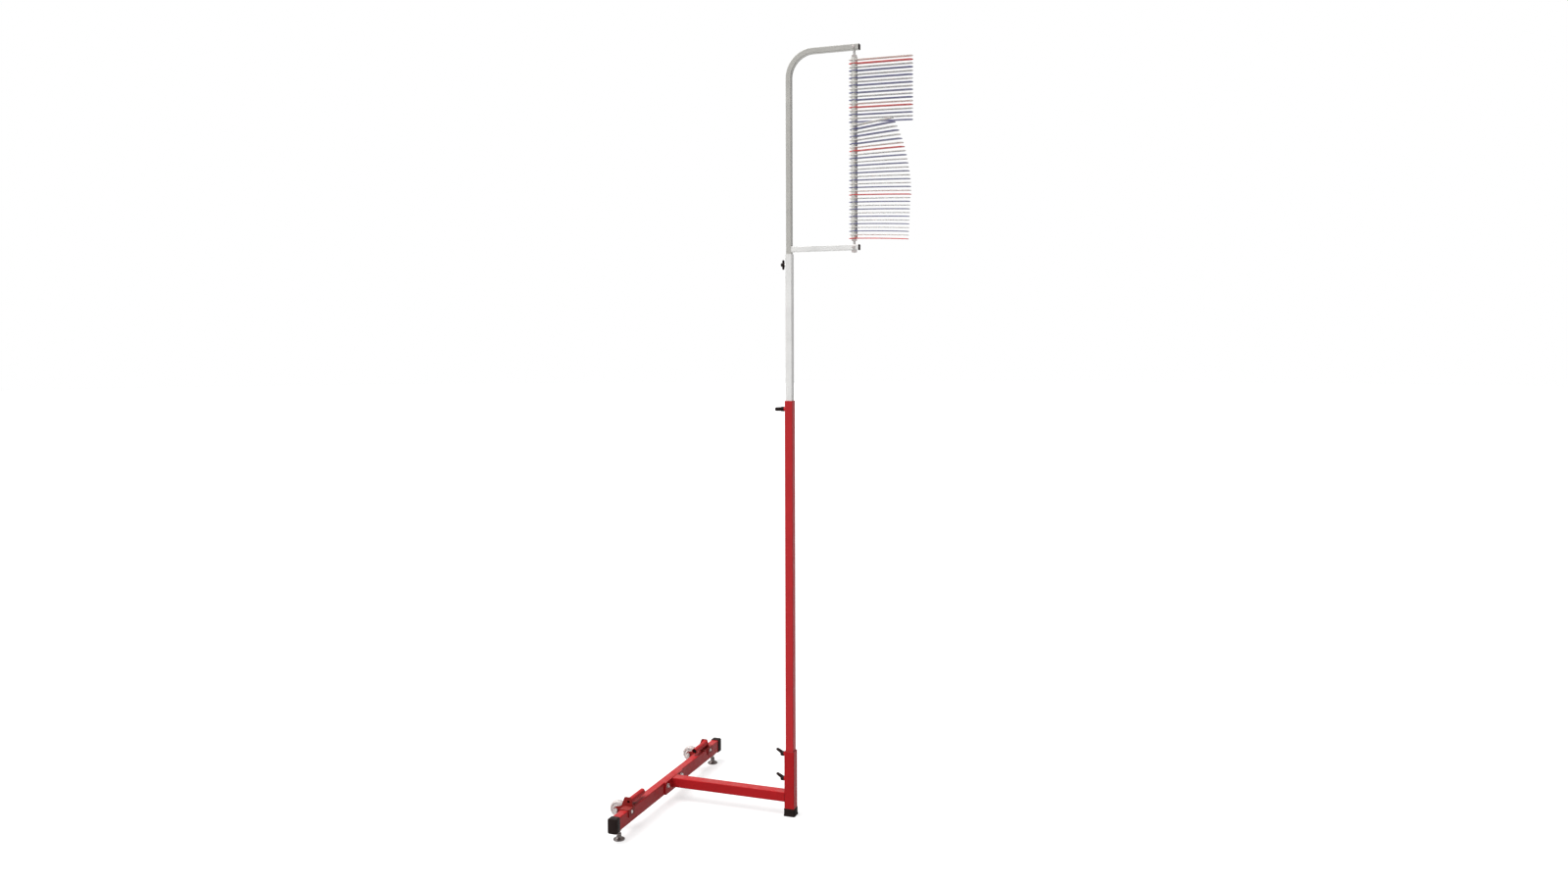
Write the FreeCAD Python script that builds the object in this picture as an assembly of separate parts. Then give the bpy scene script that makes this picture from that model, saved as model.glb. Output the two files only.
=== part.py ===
import FreeCAD, Part
import math
import os
from FreeCAD import Vector

# Vertical jump tester: a telescoping mast on a wheeled T base, with a rod of swivelling vanes.
# Units are millimetres. +Z is up. The origin is on the floor under the mast. +X points along
# the vane arms, away from the rear cross tube. Left is +Y and right is -Y.

# ---- base --------------------------------------------------------------------------------
spine_reach = 490.0        # mast axis to cross tube axis, along X
cross_length = 916.0       # cross tube without its end caps
cross_width = 30.0         # along X
cross_height = 48.0
base_clearance = 40.0      # floor to the underside of the cross tube
base_wall = 2.0
base_corner = 3.0
spine_width = 40.0         # along Y
spine_height = 36.0
end_cap_wall = 3.0
end_cap_grip = 25.0        # how far an end cap reaches over the tube
flange_half_width = 76.0
flange_thickness = 5.0
flange_bolt_offset = 59.0
flange_bolt_rise = 8.0     # above the middle of the cross tube
flange_bolt_size = 8.0

# ---- levelling feet ----------------------------------------------------------------------
foot_inset = 48.0          # from the end of the cross tube, along Y
foot_pad_radius = 20.5
foot_pad_rim = 4.0
foot_pad_edge = 1.0        # bevel under the rim
foot_pad_height = 11.0
foot_neck_radius = 8.5
foot_neck_height = 24.0
foot_stem_size = 10.0
foot_stem_top = 72.0

# ---- transport wheels and their brackets ---------------------------------------------------
wheel_inset = 148.0        # from the end of the cross tube, along Y
wheel_setback = 55.0       # wheel axis behind the cross tube axis
wheel_height = 68.0
wheel_radius = 30.0
wheel_width = 24.0
wheel_shoulder = 8.0
bearing_radius = 11.0
bearing_width = 7.0
bearing_shoulder = 2.0     # step that stops a bearing in its pocket
axle_size = 8.0
axle_sleeve_wall = 2.0
bracket_sheet = 3.0
fork_plate = 4.0
fork_gap = 28.0            # between the two fork plates
fork_boss_radius = 10.0
saddle_overhang = 34.0     # saddle beyond the stand plate
front_leaf_drop = 25.0
front_leaf_length = 44.0
rear_leaf_drop = 34.0
stand_outset = 24.0        # stand plate's inner face outboard of the wheel's middle
stand_plate_rise = 34.5    # above the top of the cross tube
stand_top_back = 15.5      # its top edge starts this far behind the cross tube's axis
stand_top_front = 7.5      # and ends this far in front of it
stand_foot_back = 29.0     # its back corner, level with the top of the cross tube
stand_hole = 10.0          # hole in the stand plate, in line with the foot bar
foot_bar_diameter = 22.0
foot_bar_wall = 1.5
foot_bar_length = 106.0
foot_bar_rise = 19.0       # foot bar axis above the top of the cross tube
foot_bar_plug_inset = 6.0  # from the bar's open end to its plug
bracket_bolt_size = 6.0
bracket_bolt_outset = 10.0 # bolt axis outboard of the stand plate's middle
bracket_bolt_below_top = 10.5
dome_ratio = 1.3           # dome radius over the domed head's radius

# ---- mast ----------------------------------------------------------------------------------
socket_side = 38.0
socket_wall = 2.0
socket_top = 239.0
lower_side = 30.0
lower_wall = 2.2
lower_top = 1521.0
middle_side = 25.0
middle_wall = 2.0
arm_rest_gap = 6.9         # middle post's top to the lower arm's underside
middle_bottom = 920.0
upper_side = 20.0
upper_wall = 1.6
upper_bottom = 1540.0
tube_corner = 2.5
shoe_floor = 8.0           # rubber under the socket
shoe_height = 28.0
shoe_wall = 1.6
shoe_flare = 3.3           # the shoe's bottom edge stands out this far from the socket
liner_bottom = 60.0
seat_gap = 0.3             # between a part and the seat it rests on

# ---- vane frame ------------------------------------------------------------------------------
rod_reach = 243.4          # mast axis to rod axis
lower_arm_height = 2065.7
stack_foot_gap = 31.2      # lower arm's centre to the lowest vane
stack_head_gap = 44.5      # highest vane to the upper arm's centre
bend_radius = 90.0         # centre line of the top bend
arm_beyond_rod = 17.0
arm_cap_length = 3.0
plug_depth = 12.0
rod_size = 10.0
rod_below_arm = 9.7
cross_bolt_size = 5.0

# ---- vanes -----------------------------------------------------------------------------------
vane_count = 50
vane_pitch = 12.7          # half an inch
vane_thickness = 2.0
vane_width = 24.0
vane_reach = 211.0         # rod axis to vane tip
vane_stub = 19.5           # rod axis to the back of the vane
vane_bend_start = 14.0
spacer_radius = 11.5
axial_play = 0.1

# ---- clamping levers and the wing knob ---------------------------------------------------------
lever_screw_size = 8.0
lever_boss_radius = 8.0
lever_boss_height = 6.0
lever_hub_radius = 9.0
lever_width = 14.0
lever_hub_length = 13.0
lever_arm_root = 7.0       # half the arm's height where it leaves the hub
lever_arm_outline = ((20.0, 17.0), (27.0, 18.0), (29.5, 15.0), (27.0, 10.0))  # out, up
lever_edge_round = 2.5
socket_lever_heights = (133.4, 225.0)
post_lever_below_top = 30.0
knob_screw_size = 6.0
knob_boss_radius = 6.5
knob_boss_height = 4.0
knob_below_top = 37.8
knob_span = 35.0
knob_hub_radius = 7.5
knob_wing_thickness = 10.0
knob_hub_length = 15.0
knob_wing_start = 2.0      # from the hub's seat
knob_wing_end = 11.0

# ---- clearances and fasteners --------------------------------------------------------------------
running_gap = 0.05         # radial, a shaft that turns in a hole
bolt_gap = 0.25            # radial, a bolt in its hole
beyond_nut = 2.0           # how far a bolt stands out of its nut
cut_past = 1.0             # how far a cutting shape runs past the face it cuts
slide_gap = 0.2            # each side, the lower post in its plastic liner
turn_gap = 0.3             # between faces that turn past each other
washer_ratio = 1.05        # washer radius over bolt size
washer_thickness = 1.6
hex_ratio = 1.7            # across flats over bolt size
hex_height_ratio = 0.64
nut_height_ratio = 0.8

lowest_vane_height = lower_arm_height + stack_foot_gap
upper_arm_height = lowest_vane_height + vane_pitch * (vane_count - 1) + stack_head_gap
middle_top = lower_arm_height - upper_side / 2 - arm_rest_gap
foot_offset = cross_length / 2 - foot_inset
wheel_offset = cross_length / 2 - wheel_inset
cross_x = -spine_reach
cross_top = base_clearance + cross_height
cross_front = cross_x + cross_width / 2
cross_back = cross_x - cross_width / 2
spine_start = cross_front + flange_thickness
spine_end = -socket_side / 2
sides = {"left": 1, "right": -1}


def rounded_rectangle(width, depth, radius):
    """Wire of a rectangle with round corners, in the XY plane, centred on the origin."""
    x, y, r = width / 2, depth / 2, radius
    k = r * (1 - math.sqrt(0.5))
    corners = [((x, y - r), (x - k, y - k), (x - r, y)),
               ((-x + r, y), (-x + k, y - k), (-x, y - r)),
               ((-x, -y + r), (-x + k, -y + k), (-x + r, -y)),
               ((x - r, -y), (x - k, -y + k), (x, -y + r))]
    points = [[Vector(a, b, 0) for a, b in corner] for corner in corners]
    edges = []
    for i, corner in enumerate(points):
        edges.append(Part.Arc(*corner).toShape())
        edges.append(Part.LineSegment(corner[2], points[(i + 1) % 4][0]).toShape())
    return Part.Wire(edges)


def bar_section(width, depth, radius):
    return Part.Face(rounded_rectangle(width, depth, radius))


def tube_section(width, depth, wall, radius):
    inner_radius = max(radius - wall, 0.5)
    inner = bar_section(width - 2 * wall, depth - 2 * wall, inner_radius)
    return bar_section(width, depth, radius).cut(inner).Faces[0]


def upright(section, bottom, top, x=0.0, y=0.0):
    """Extrude a section in the XY plane from one height to another."""
    shape = section.extrude(Vector(0, 0, top - bottom))
    shape.translate(Vector(x, y, bottom))
    return shape


def along_x(section, start, end, y, z):
    """Extrude a section whose width lies along Y and whose depth lies along Z."""
    shape = section.extrude(Vector(0, 0, end - start))
    shape.rotate(Vector(0, 0, 0), Vector(1, 1, 1), 120)
    shape.translate(Vector(start, y, z))
    return shape


def along_y(section, start, end, x, z):
    """Extrude a section whose width lies along Z and whose depth lies along X."""
    shape = section.extrude(Vector(0, 0, end - start))
    shape.rotate(Vector(0, 0, 0), Vector(1, 1, 1), -120)
    shape.translate(Vector(x, start, z))
    return shape


def rod(radius, start, end):
    """Round bar between two points."""
    start, end = Vector(*start), Vector(*end)
    return Part.makeCylinder(radius, (end - start).Length, start, end - start)


def ring(outer, inner, start, end):
    return rod(outer, start, end).cut(rod(inner, start, end))


def hexagon(across_flats, start, end):
    """Hexagonal bar between two points."""
    start, end = Vector(*start), Vector(*end)
    radius = across_flats / math.sqrt(3)
    turns = [math.radians(60 * i) for i in range(7)]
    wire = Part.makePolygon([Vector(radius * math.cos(a), radius * math.sin(a), 0) for a in turns])
    shape = Part.Face(wire).extrude(Vector(0, 0, (end - start).Length))
    shape.Placement = FreeCAD.Placement(start, FreeCAD.Rotation(Vector(0, 0, 1), end - start))
    return shape


def nut(size, start, end):
    """Hexagon nut on the axis from start to end, bored for its bolt."""
    return hexagon(size * hex_ratio, start, end).cut(rod(size / 2 + running_gap, start, end))


def bolt(size, axis_point, direction, head_at, end_at):
    """Hexagon bolt with a washer. Distances run along direction from axis_point."""
    base, run = Vector(*axis_point), Vector(*direction)
    place = lambda distance: tuple(base + run * distance)
    washer_end = head_at - washer_thickness
    head_end = washer_end - size * hex_height_ratio
    shank = rod(size / 2, place(washer_end), place(end_at))
    washer = rod(size * washer_ratio, place(washer_end), place(head_at))
    head = hexagon(size * hex_ratio, place(head_end), place(washer_end))
    return shank.fuse([washer, head]).removeSplitter()


def plate_xz(points, y_low, y_high):
    """Flat plate in an XZ plane from corner points (x, z)."""
    loop = [Vector(x, y_low, z) for x, z in points]
    wire = Part.makePolygon(loop + [loop[0]])
    return Part.Face(wire).extrude(Vector(0, y_high - y_low, 0))


def mirrored(shape, side):
    """The shape as built for the left side, or its mirror image for the right."""
    return shape if side > 0 else shape.mirror(Vector(0, 0, 0), Vector(0, 1, 0))


# ---- base pieces ---------------------------------------------------------------------------------
def cross_tube():
    section = tube_section(cross_height, cross_width, base_wall, base_corner)
    middle = base_clearance + cross_height / 2
    tube = along_y(section, -cross_length / 2, cross_length / 2, cross_x, middle)
    level = middle + flange_bolt_rise
    holes = []
    for side in sides.values():
        holes.append(rod(flange_bolt_size / 2 + bolt_gap,
                         (cross_back - cut_past, side * flange_bolt_offset, level),
                         (cross_front + cut_past, side * flange_bolt_offset, level)))
        holes.append(rod(bracket_bolt_size / 2 + bolt_gap,
                         (cross_back - cut_past, side * bracket_bolt_y(), bracket_bolt_z()),
                         (cross_front + cut_past, side * bracket_bolt_y(), bracket_bolt_z())))
        holes.append(rod(foot_stem_size / 2 + bolt_gap,
                         (cross_x, side * foot_offset, base_clearance - cut_past),
                         (cross_x, side * foot_offset, middle)))
    return tube.cut(holes)


def cross_tube_cap():
    """Slip-over cap on the left end of the cross tube."""
    grown = 2 * end_cap_wall
    middle = base_clearance + cross_height / 2
    end = cross_length / 2
    outer = bar_section(cross_height + grown, cross_width + grown, base_corner + end_cap_wall)
    inner = bar_section(cross_height, cross_width, base_corner)
    cap = along_y(outer, end - end_cap_grip, end + end_cap_wall, cross_x, middle)
    rim = [e for e in cap.Edges if e.CenterOfMass.y > end + end_cap_wall - 0.01]
    cap = cap.makeFillet(end_cap_wall * 0.6, rim)
    return cap.cut(along_y(inner, end - end_cap_grip - cut_past, end, cross_x, middle))


def spine_tube():
    section = tube_section(spine_width, spine_height, base_wall, base_corner)
    return along_x(section, spine_start, spine_end, 0, cross_top - spine_height / 2)


def flange_plate():
    middle = base_clearance + cross_height / 2
    section = bar_section(2 * flange_half_width, cross_height, base_corner)
    plate = along_x(section, cross_front, spine_start, 0, middle)
    bore = flange_bolt_size / 2 + bolt_gap
    level = middle + flange_bolt_rise
    holes = [rod(bore, (cross_front - cut_past, side * flange_bolt_offset, level),
                 (spine_start + cut_past, side * flange_bolt_offset, level)) for side in sides.values()]
    return plate.cut(holes)


def flange_bolts():
    """Two bolts with nuts that hold the flange plate to the cross tube."""
    level = base_clearance + cross_height / 2 + flange_bolt_rise
    nut_height = flange_bolt_size * nut_height_ratio
    pieces = []
    for side in sides.values():
        y = side * flange_bolt_offset
        length = flange_thickness + cross_width + nut_height + beyond_nut
        pieces.append(bolt(flange_bolt_size, (spine_start, y, level), (-1, 0, 0), 0, length))
        pieces.append(nut(flange_bolt_size, (cross_back, y, level), (cross_back - nut_height, y, level)))
    return pieces


# ---- mast socket ---------------------------------------------------------------------------------
def boss(radius, height, bore, face_x, z):
    """Round weld nut on the -X face of a mast tube."""
    return ring(radius, bore, (-face_x, 0, z), (-face_x - height, 0, z))


def screw_hole(bore, face_x, wall, z):
    return rod(bore, (-face_x - cut_past, 0, z), (-face_x + wall + cut_past, 0, z))


def mast_socket():
    tube = upright(tube_section(socket_side, socket_side, socket_wall, tube_corner), shoe_floor, socket_top)
    bore = lever_screw_size / 2 + running_gap
    for z in socket_lever_heights:
        tube = tube.cut(screw_hole(bore, socket_side / 2, socket_wall, z))
        tube = tube.fuse(boss(lever_boss_radius, lever_boss_height, bore, socket_side / 2, z))
    return tube.removeSplitter()


def socket_liner():
    """Plastic sleeve that guides the lower post inside the socket."""
    outer = socket_side - 2 * socket_wall
    inner = lower_side + 2 * slide_gap
    section = tube_section(outer, outer, (outer - inner) / 2, tube_corner - socket_wall + slide_gap)
    sleeve = upright(section, liner_bottom, socket_top)
    bore = lever_screw_size / 2 + bolt_gap
    wall = (outer - inner) / 2
    return sleeve.cut([screw_hole(bore, outer / 2, wall, z) for z in socket_lever_heights])


def socket_foot():
    """Rubber shoe under the socket, with a flared bottom edge."""
    side = socket_side + 2 * shoe_wall
    foot_side = socket_side + 2 * shoe_flare
    corner = tube_corner + shoe_wall
    flare_height = shoe_floor
    flare_bottom = rounded_rectangle(foot_side, foot_side, corner)
    flare_top = rounded_rectangle(side, side, corner)
    flare_top.translate(Vector(0, 0, flare_height))
    flare = Part.makeLoft([flare_bottom, flare_top], True, True)
    cup = upright(bar_section(side, side, corner), flare_height, shoe_height)
    pocket = upright(bar_section(socket_side, socket_side, tube_corner), shoe_floor, shoe_height + cut_past)
    return flare.fuse(cup.cut(pocket)).removeSplitter()


# ---- levelling feet ------------------------------------------------------------------------------
def level_foot(side):
    """Round pad and its threaded stem, which screws up into the cross tube."""
    edge = foot_pad_edge
    profile = [(0, 0), (foot_pad_radius - edge, 0), (foot_pad_radius, edge), (foot_pad_radius, foot_pad_rim),
               (foot_neck_radius, foot_pad_height), (foot_neck_radius, foot_neck_height),
               (foot_stem_size / 2, foot_neck_height),
               (foot_stem_size / 2, foot_stem_top), (0, foot_stem_top)]
    loop = [Vector(r, 0, z) for r, z in profile]
    shape = Part.Face(Part.makePolygon(loop + [loop[0]])).revolve(Vector(0, 0, 0), Vector(0, 0, 1), 360)
    shape.translate(Vector(cross_x, side * foot_offset, 0))
    return shape


def foot_nut(side):
    height = foot_stem_size * nut_height_ratio
    y = side * foot_offset
    return nut(foot_stem_size, (cross_x, y, base_clearance - height), (cross_x, y, base_clearance))


# ---- wheel units ---------------------------------------------------------------------------------
def outer_plate_y():
    """Inner face of the outer fork plate."""
    return wheel_offset + fork_gap / 2


def inner_plate_y():
    """Inner face of the inner fork plate."""
    return wheel_offset - fork_gap / 2


def stand_y():
    """Inner face of the stand plate."""
    return wheel_offset + stand_outset


def bracket_bolt_y():
    return stand_y() + fork_plate / 2 + bracket_bolt_outset


def bracket_bolt_z():
    return cross_top - bracket_bolt_below_top


def wheel_axis_x():
    return cross_x - wheel_setback


def fork_arm(y_low):
    """Plate from the saddle back to the wheel axis, with a round end."""
    y_high = y_low + fork_plate
    back = cross_back - bracket_sheet
    x, z = wheel_axis_x(), wheel_height
    outline = [(back, z - fork_boss_radius), (back, cross_top + bracket_sheet),
               (x, z + fork_boss_radius), (x, z - fork_boss_radius)]
    arm = plate_xz(outline, y_low, y_high)
    boss_end = rod(fork_boss_radius, (x, y_low, z), (x, y_high, z))
    hole = rod(axle_size / 2 + running_gap, (x, y_low - cut_past, z), (x, y_high + cut_past, z))
    return arm.fuse(boss_end).removeSplitter().cut(hole)


def stand_plate():
    """Upright plate on the saddle that holds the foot bar."""
    back = cross_back - bracket_sheet
    web_top = cross_top + bracket_sheet
    outline = [(back, cross_top - rear_leaf_drop / 2), (back, web_top),
               (cross_front + bracket_sheet, web_top),
               (cross_x + stand_top_front, cross_top + stand_plate_rise),
               (cross_x - stand_top_back, cross_top + stand_plate_rise),
               (cross_x - stand_foot_back, cross_top)]
    z = foot_bar_ends()[0][2]
    near = stand_y()
    far = near + fork_plate
    hole = rod(stand_hole / 2, (cross_x, near - cut_past, z), (cross_x, far + cut_past, z))
    return plate_xz(outline, near, far).cut(hole)


def wheel_bracket():
    """Saddle over the cross tube with the fork arms and the stand plate of the left wheel."""
    start = inner_plate_y() - fork_plate
    end = stand_y() + fork_plate + saddle_overhang
    web_top = cross_top + bracket_sheet
    back = cross_back - bracket_sheet
    front = cross_front + bracket_sheet
    saddle = plate_xz([(back, cross_top - rear_leaf_drop), (cross_back, cross_top - rear_leaf_drop),
                       (cross_back, cross_top), (cross_front, cross_top), (cross_front, web_top),
                       (back, web_top)], start, end)
    leaf_start = bracket_bolt_y() - front_leaf_length / 2
    leaf = plate_xz([(cross_front, cross_top - front_leaf_drop), (front, cross_top - front_leaf_drop),
                     (front, web_top), (cross_front, web_top)], leaf_start, leaf_start + front_leaf_length)
    bracket = saddle.fuse([leaf, stand_plate(), fork_arm(outer_plate_y()), fork_arm(start)]).removeSplitter()
    hole = rod(bracket_bolt_size / 2 + bolt_gap, (back - cut_past, bracket_bolt_y(), bracket_bolt_z()),
               (front + cut_past, bracket_bolt_y(), bracket_bolt_z()))
    return bracket.cut(hole)


def foot_bar_ends():
    """The two ends of the left foot bar's axis: at the plate and free."""
    z = cross_top + foot_bar_rise
    return (cross_x, stand_y(), z), (cross_x, stand_y() - foot_bar_length, z)


def foot_bar():
    root, free = foot_bar_ends()
    return ring(foot_bar_diameter / 2, foot_bar_diameter / 2 - foot_bar_wall, root, free)


def foot_bar_plug():
    """Disc set into the open end of the foot bar."""
    free = foot_bar_ends()[1]
    near = Vector(free[0], free[1] + foot_bar_plug_inset, free[2])
    return rod(foot_bar_diameter / 2 - foot_bar_wall, near, near + Vector(0, plug_depth, 0))


def bracket_bolt():
    """Domed bolt and nut that clamp the left saddle to the cross tube."""
    y, z = bracket_bolt_y(), bracket_bolt_z()
    front = cross_front + bracket_sheet
    back = cross_back - bracket_sheet
    nut_height = bracket_bolt_size * nut_height_ratio
    head_radius = bracket_bolt_size
    dome_radius = dome_ratio * head_radius
    dome = Part.makeSphere(dome_radius, Vector(front - math.sqrt(dome_radius ** 2 - head_radius ** 2), y, z))
    head = dome.common(rod(head_radius, (front, y, z), (front + dome_radius, y, z)))
    shank = rod(bracket_bolt_size / 2, (front, y, z), (back - nut_height - beyond_nut, y, z))
    fastener = head.fuse(shank).removeSplitter()
    return [fastener, nut(bracket_bolt_size, (back, y, z), (back - nut_height, y, z))]


def wheel_axle():
    """Axle bolt and nut of the left wheel."""
    x, z = wheel_axis_x(), wheel_height
    outside = outer_plate_y() + fork_plate
    inside = inner_plate_y() - fork_plate
    nut_height = axle_size * nut_height_ratio
    head_height = axle_size * hex_height_ratio
    shank = rod(axle_size / 2, (x, outside, z), (x, inside - nut_height - beyond_nut, z))
    head = hexagon(axle_size * hex_ratio, (x, outside, z), (x, outside + head_height, z))
    axle = shank.fuse(head).removeSplitter()
    return [axle, nut(axle_size, (x, inside, z), (x, inside - nut_height, z))]


def axle_spacers():
    """Sleeves between the left wheel's bearings and its fork plates."""
    x, z = wheel_axis_x(), wheel_height
    bore = axle_size / 2 + running_gap
    sleeves = []
    for way in (1, -1):
        near = wheel_offset + way * (wheel_width / 2 + turn_gap)
        far = wheel_offset + way * fork_gap / 2
        sleeves.append(ring(axle_size / 2 + axle_sleeve_wall, bore, (x, near, z), (x, far, z)))
    return sleeves


def wheel():
    """Moulded wheel of the left unit, with a pocket for a bearing in each side."""
    half = wheel_width / 2
    r, s = wheel_radius, wheel_shoulder
    k = s * (1 - math.sqrt(0.5))
    pocket = half - bearing_width
    web = bearing_radius - bearing_shoulder
    seat = bearing_radius
    path = [((web, -pocket), (seat, -pocket)),
            ((seat, -pocket), (seat, -half)),
            ((seat, -half), (r - s, -half)),
            ((r - s, -half), (r - k, -half + k), (r, -half + s)),
            ((r, -half + s), (r, half - s)),
            ((r, half - s), (r - k, half - k), (r - s, half)),
            ((r - s, half), (seat, half)),
            ((seat, half), (seat, pocket)),
            ((seat, pocket), (web, pocket)),
            ((web, pocket), (web, -pocket))]
    edges = []
    for points in path:
        spots = [Vector(a, b, 0) for a, b in points]
        curve = Part.Arc(*spots) if len(spots) == 3 else Part.LineSegment(*spots)
        edges.append(curve.toShape())
    shape = Part.Face(Part.Wire(edges)).revolve(Vector(0, 0, 0), Vector(0, 1, 0), 360)
    shape.translate(Vector(wheel_axis_x(), wheel_offset, wheel_height))
    return shape


def wheel_bearings():
    x, z = wheel_axis_x(), wheel_height
    half = wheel_width / 2
    return [ring(bearing_radius, axle_size / 2 + running_gap,
                 (x, wheel_offset + way * (half - bearing_width), z), (x, wheel_offset + way * half, z))
            for way in (1, -1)]


# ---- mast tubes ----------------------------------------------------------------------------------
def lower_post():
    z = lower_top - post_lever_below_top
    bore = lever_screw_size / 2 + running_gap
    section = tube_section(lower_side, lower_side, lower_wall, tube_corner)
    tube = upright(section, shoe_floor + seat_gap, lower_top)
    tube = tube.cut(screw_hole(bore, lower_side / 2, lower_wall, z))
    return tube.fuse(boss(lever_boss_radius, lever_boss_height, bore, lower_side / 2, z)).removeSplitter()


def middle_post():
    z = middle_top - knob_below_top
    bore = knob_screw_size / 2 + running_gap
    section = tube_section(middle_side, middle_side, middle_wall, tube_corner)
    tube = upright(section, middle_bottom, middle_top)
    tube = tube.cut(screw_hole(bore, middle_side / 2, middle_wall, z))
    return tube.fuse(boss(knob_boss_radius, knob_boss_height, bore, middle_side / 2, z)).removeSplitter()


def rod_hole(bottom, top):
    return rod(rod_size / 2 + bolt_gap, (rod_reach, 0, bottom), (rod_reach, 0, top))


def cross_bolt_hole(z):
    return rod(cross_bolt_size / 2 + bolt_gap, (rod_reach, -upper_side, z), (rod_reach, upper_side, z))


def upper_frame():
    """Square tube that rises from the middle post and bends over into the upper arm."""
    section = tube_section(upper_side, upper_side, upper_wall, tube_corner)
    bend_start = upper_arm_height - bend_radius
    leg = upright(section, upper_bottom, bend_start)
    bend = section.copy()
    bend.translate(Vector(0, 0, bend_start))
    bend = bend.revolve(Vector(bend_radius, 0, bend_start), Vector(0, 1, 0), 90)
    arm = along_x(section, bend_radius, rod_reach + arm_beyond_rod, 0, upper_arm_height)
    tube = leg.fuse([bend, arm])
    top_inside = upper_arm_height + upper_side / 2 - upper_wall
    return tube.cut([rod_hole(upper_arm_height - upper_side, top_inside),
                     cross_bolt_hole(upper_arm_height)])


def lower_arm():
    section = tube_section(upper_side, upper_side, upper_wall, tube_corner)
    tube = along_x(section, upper_side / 2, rod_reach + arm_beyond_rod, 0, lower_arm_height)
    half = upper_side / 2 + cut_past
    return tube.cut([rod_hole(lower_arm_height - half, lower_arm_height + half),
                     cross_bolt_hole(lower_arm_height)])


def arm_cap(z):
    end = rod_reach + arm_beyond_rod
    inside = upper_side - 2 * upper_wall
    head = along_x(bar_section(upper_side, upper_side, tube_corner), end, end + arm_cap_length, 0, z)
    tongue_length = arm_beyond_rod - rod_size / 2 - cut_past
    tongue = along_x(bar_section(inside, inside, tube_corner - upper_wall), end - tongue_length, end, 0, z)
    return head.fuse(tongue).removeSplitter()


# ---- rod, spacers and vanes ----------------------------------------------------------------------
def vane_height(number):
    """Middle height of a vane, counted from 1 at the top."""
    return lowest_vane_height + vane_pitch * (vane_count - number)


def vane_rod():
    bottom = lower_arm_height - upper_side / 2 - rod_below_arm
    top = upper_arm_height + upper_side / 2 - upper_wall
    shaft = rod(rod_size / 2, (rod_reach, 0, bottom), (rod_reach, 0, top))
    bore = cross_bolt_size / 2 + running_gap
    return shaft.cut([rod(bore, (rod_reach, -rod_size, z), (rod_reach, rod_size, z))
                      for z in (lower_arm_height, upper_arm_height)])


def top_nut_bottom():
    return vane_height(1) + vane_thickness / 2 + axial_play + nut_height_ratio * rod_size


def rod_fasteners():
    """Nuts on the rod and the cross bolts that pin it in the two arms."""
    height = rod_size * nut_height_ratio
    under_arm = lower_arm_height - upper_side / 2
    stack_bottom = vane_height(vane_count) - vane_thickness / 2 - axial_play
    pieces = []
    for bottom in (under_arm - height, stack_bottom - height, top_nut_bottom()):
        pieces.append(nut(rod_size, (rod_reach, 0, bottom), (rod_reach, 0, bottom + height)))
    for z in (lower_arm_height, upper_arm_height):
        face = upper_side / 2
        nut_height = cross_bolt_size * nut_height_ratio
        length = upper_side + nut_height + beyond_nut / 2
        pieces.append(bolt(cross_bolt_size, (rod_reach, -face, z), (0, 1, 0), 0, length))
        pieces.append(nut(cross_bolt_size, (rod_reach, face, z), (rod_reach, face + nut_height, z)))
    return pieces


def vane_spacers():
    """Sleeves on the rod: one above each vane."""
    bore = rod_size / 2 + running_gap
    rings = []
    for number in range(1, vane_count + 1):
        bottom = vane_height(number) + vane_thickness / 2 + axial_play
        top = vane_height(number - 1) - vane_thickness / 2 - axial_play
        if number == 1:
            top = top_nut_bottom()
        rings.append(ring(spacer_radius, bore, (rod_reach, 0, bottom), (rod_reach, 0, top)))
    return rings


def vane_angle(number):
    """How far a vane is turned from +X towards +Y, in degrees, as it was left after use."""
    if number <= 18:
        return 0.0
    if number <= 38:
        return -(5.0 + 31.0 * ((38 - number) / 19) ** 1.6)
    return -(8.0 + 4.0 * (number - 39) / 11)


def vane_droop(number):
    """How far a vane's tip hangs below its hub: more towards the bottom of the stack."""
    return 1.5 + 11.0 * (number / vane_count) ** 1.3


def vane(number):
    """Flat strip with round ends, bored for the rod and bent down a little outside its hub."""
    half = vane_width / 2
    outline = bar_section(vane_reach + vane_stub, vane_width, half - 0.01)
    outline.translate(Vector((vane_reach - vane_stub) / 2, 0, -2 * vane_width))
    outline = outline.extrude(Vector(0, 0, 4 * vane_width))
    drop = vane_droop(number)
    t = vane_thickness / 2
    points = [(-vane_stub, t), (vane_bend_start, t), (vane_reach, t - drop),
              (vane_reach, -t - drop), (vane_bend_start, -t), (-vane_stub, -t)]
    strip = plate_xz(points, -half, half).common(outline)
    bore = rod(rod_size / 2 + running_gap, (0, 0, -vane_width), (0, 0, vane_width))
    strip = strip.cut(bore)
    strip.rotate(Vector(0, 0, 0), Vector(0, 0, 1), vane_angle(number))
    strip.translate(Vector(rod_reach, 0, vane_height(number)))
    return strip


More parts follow.
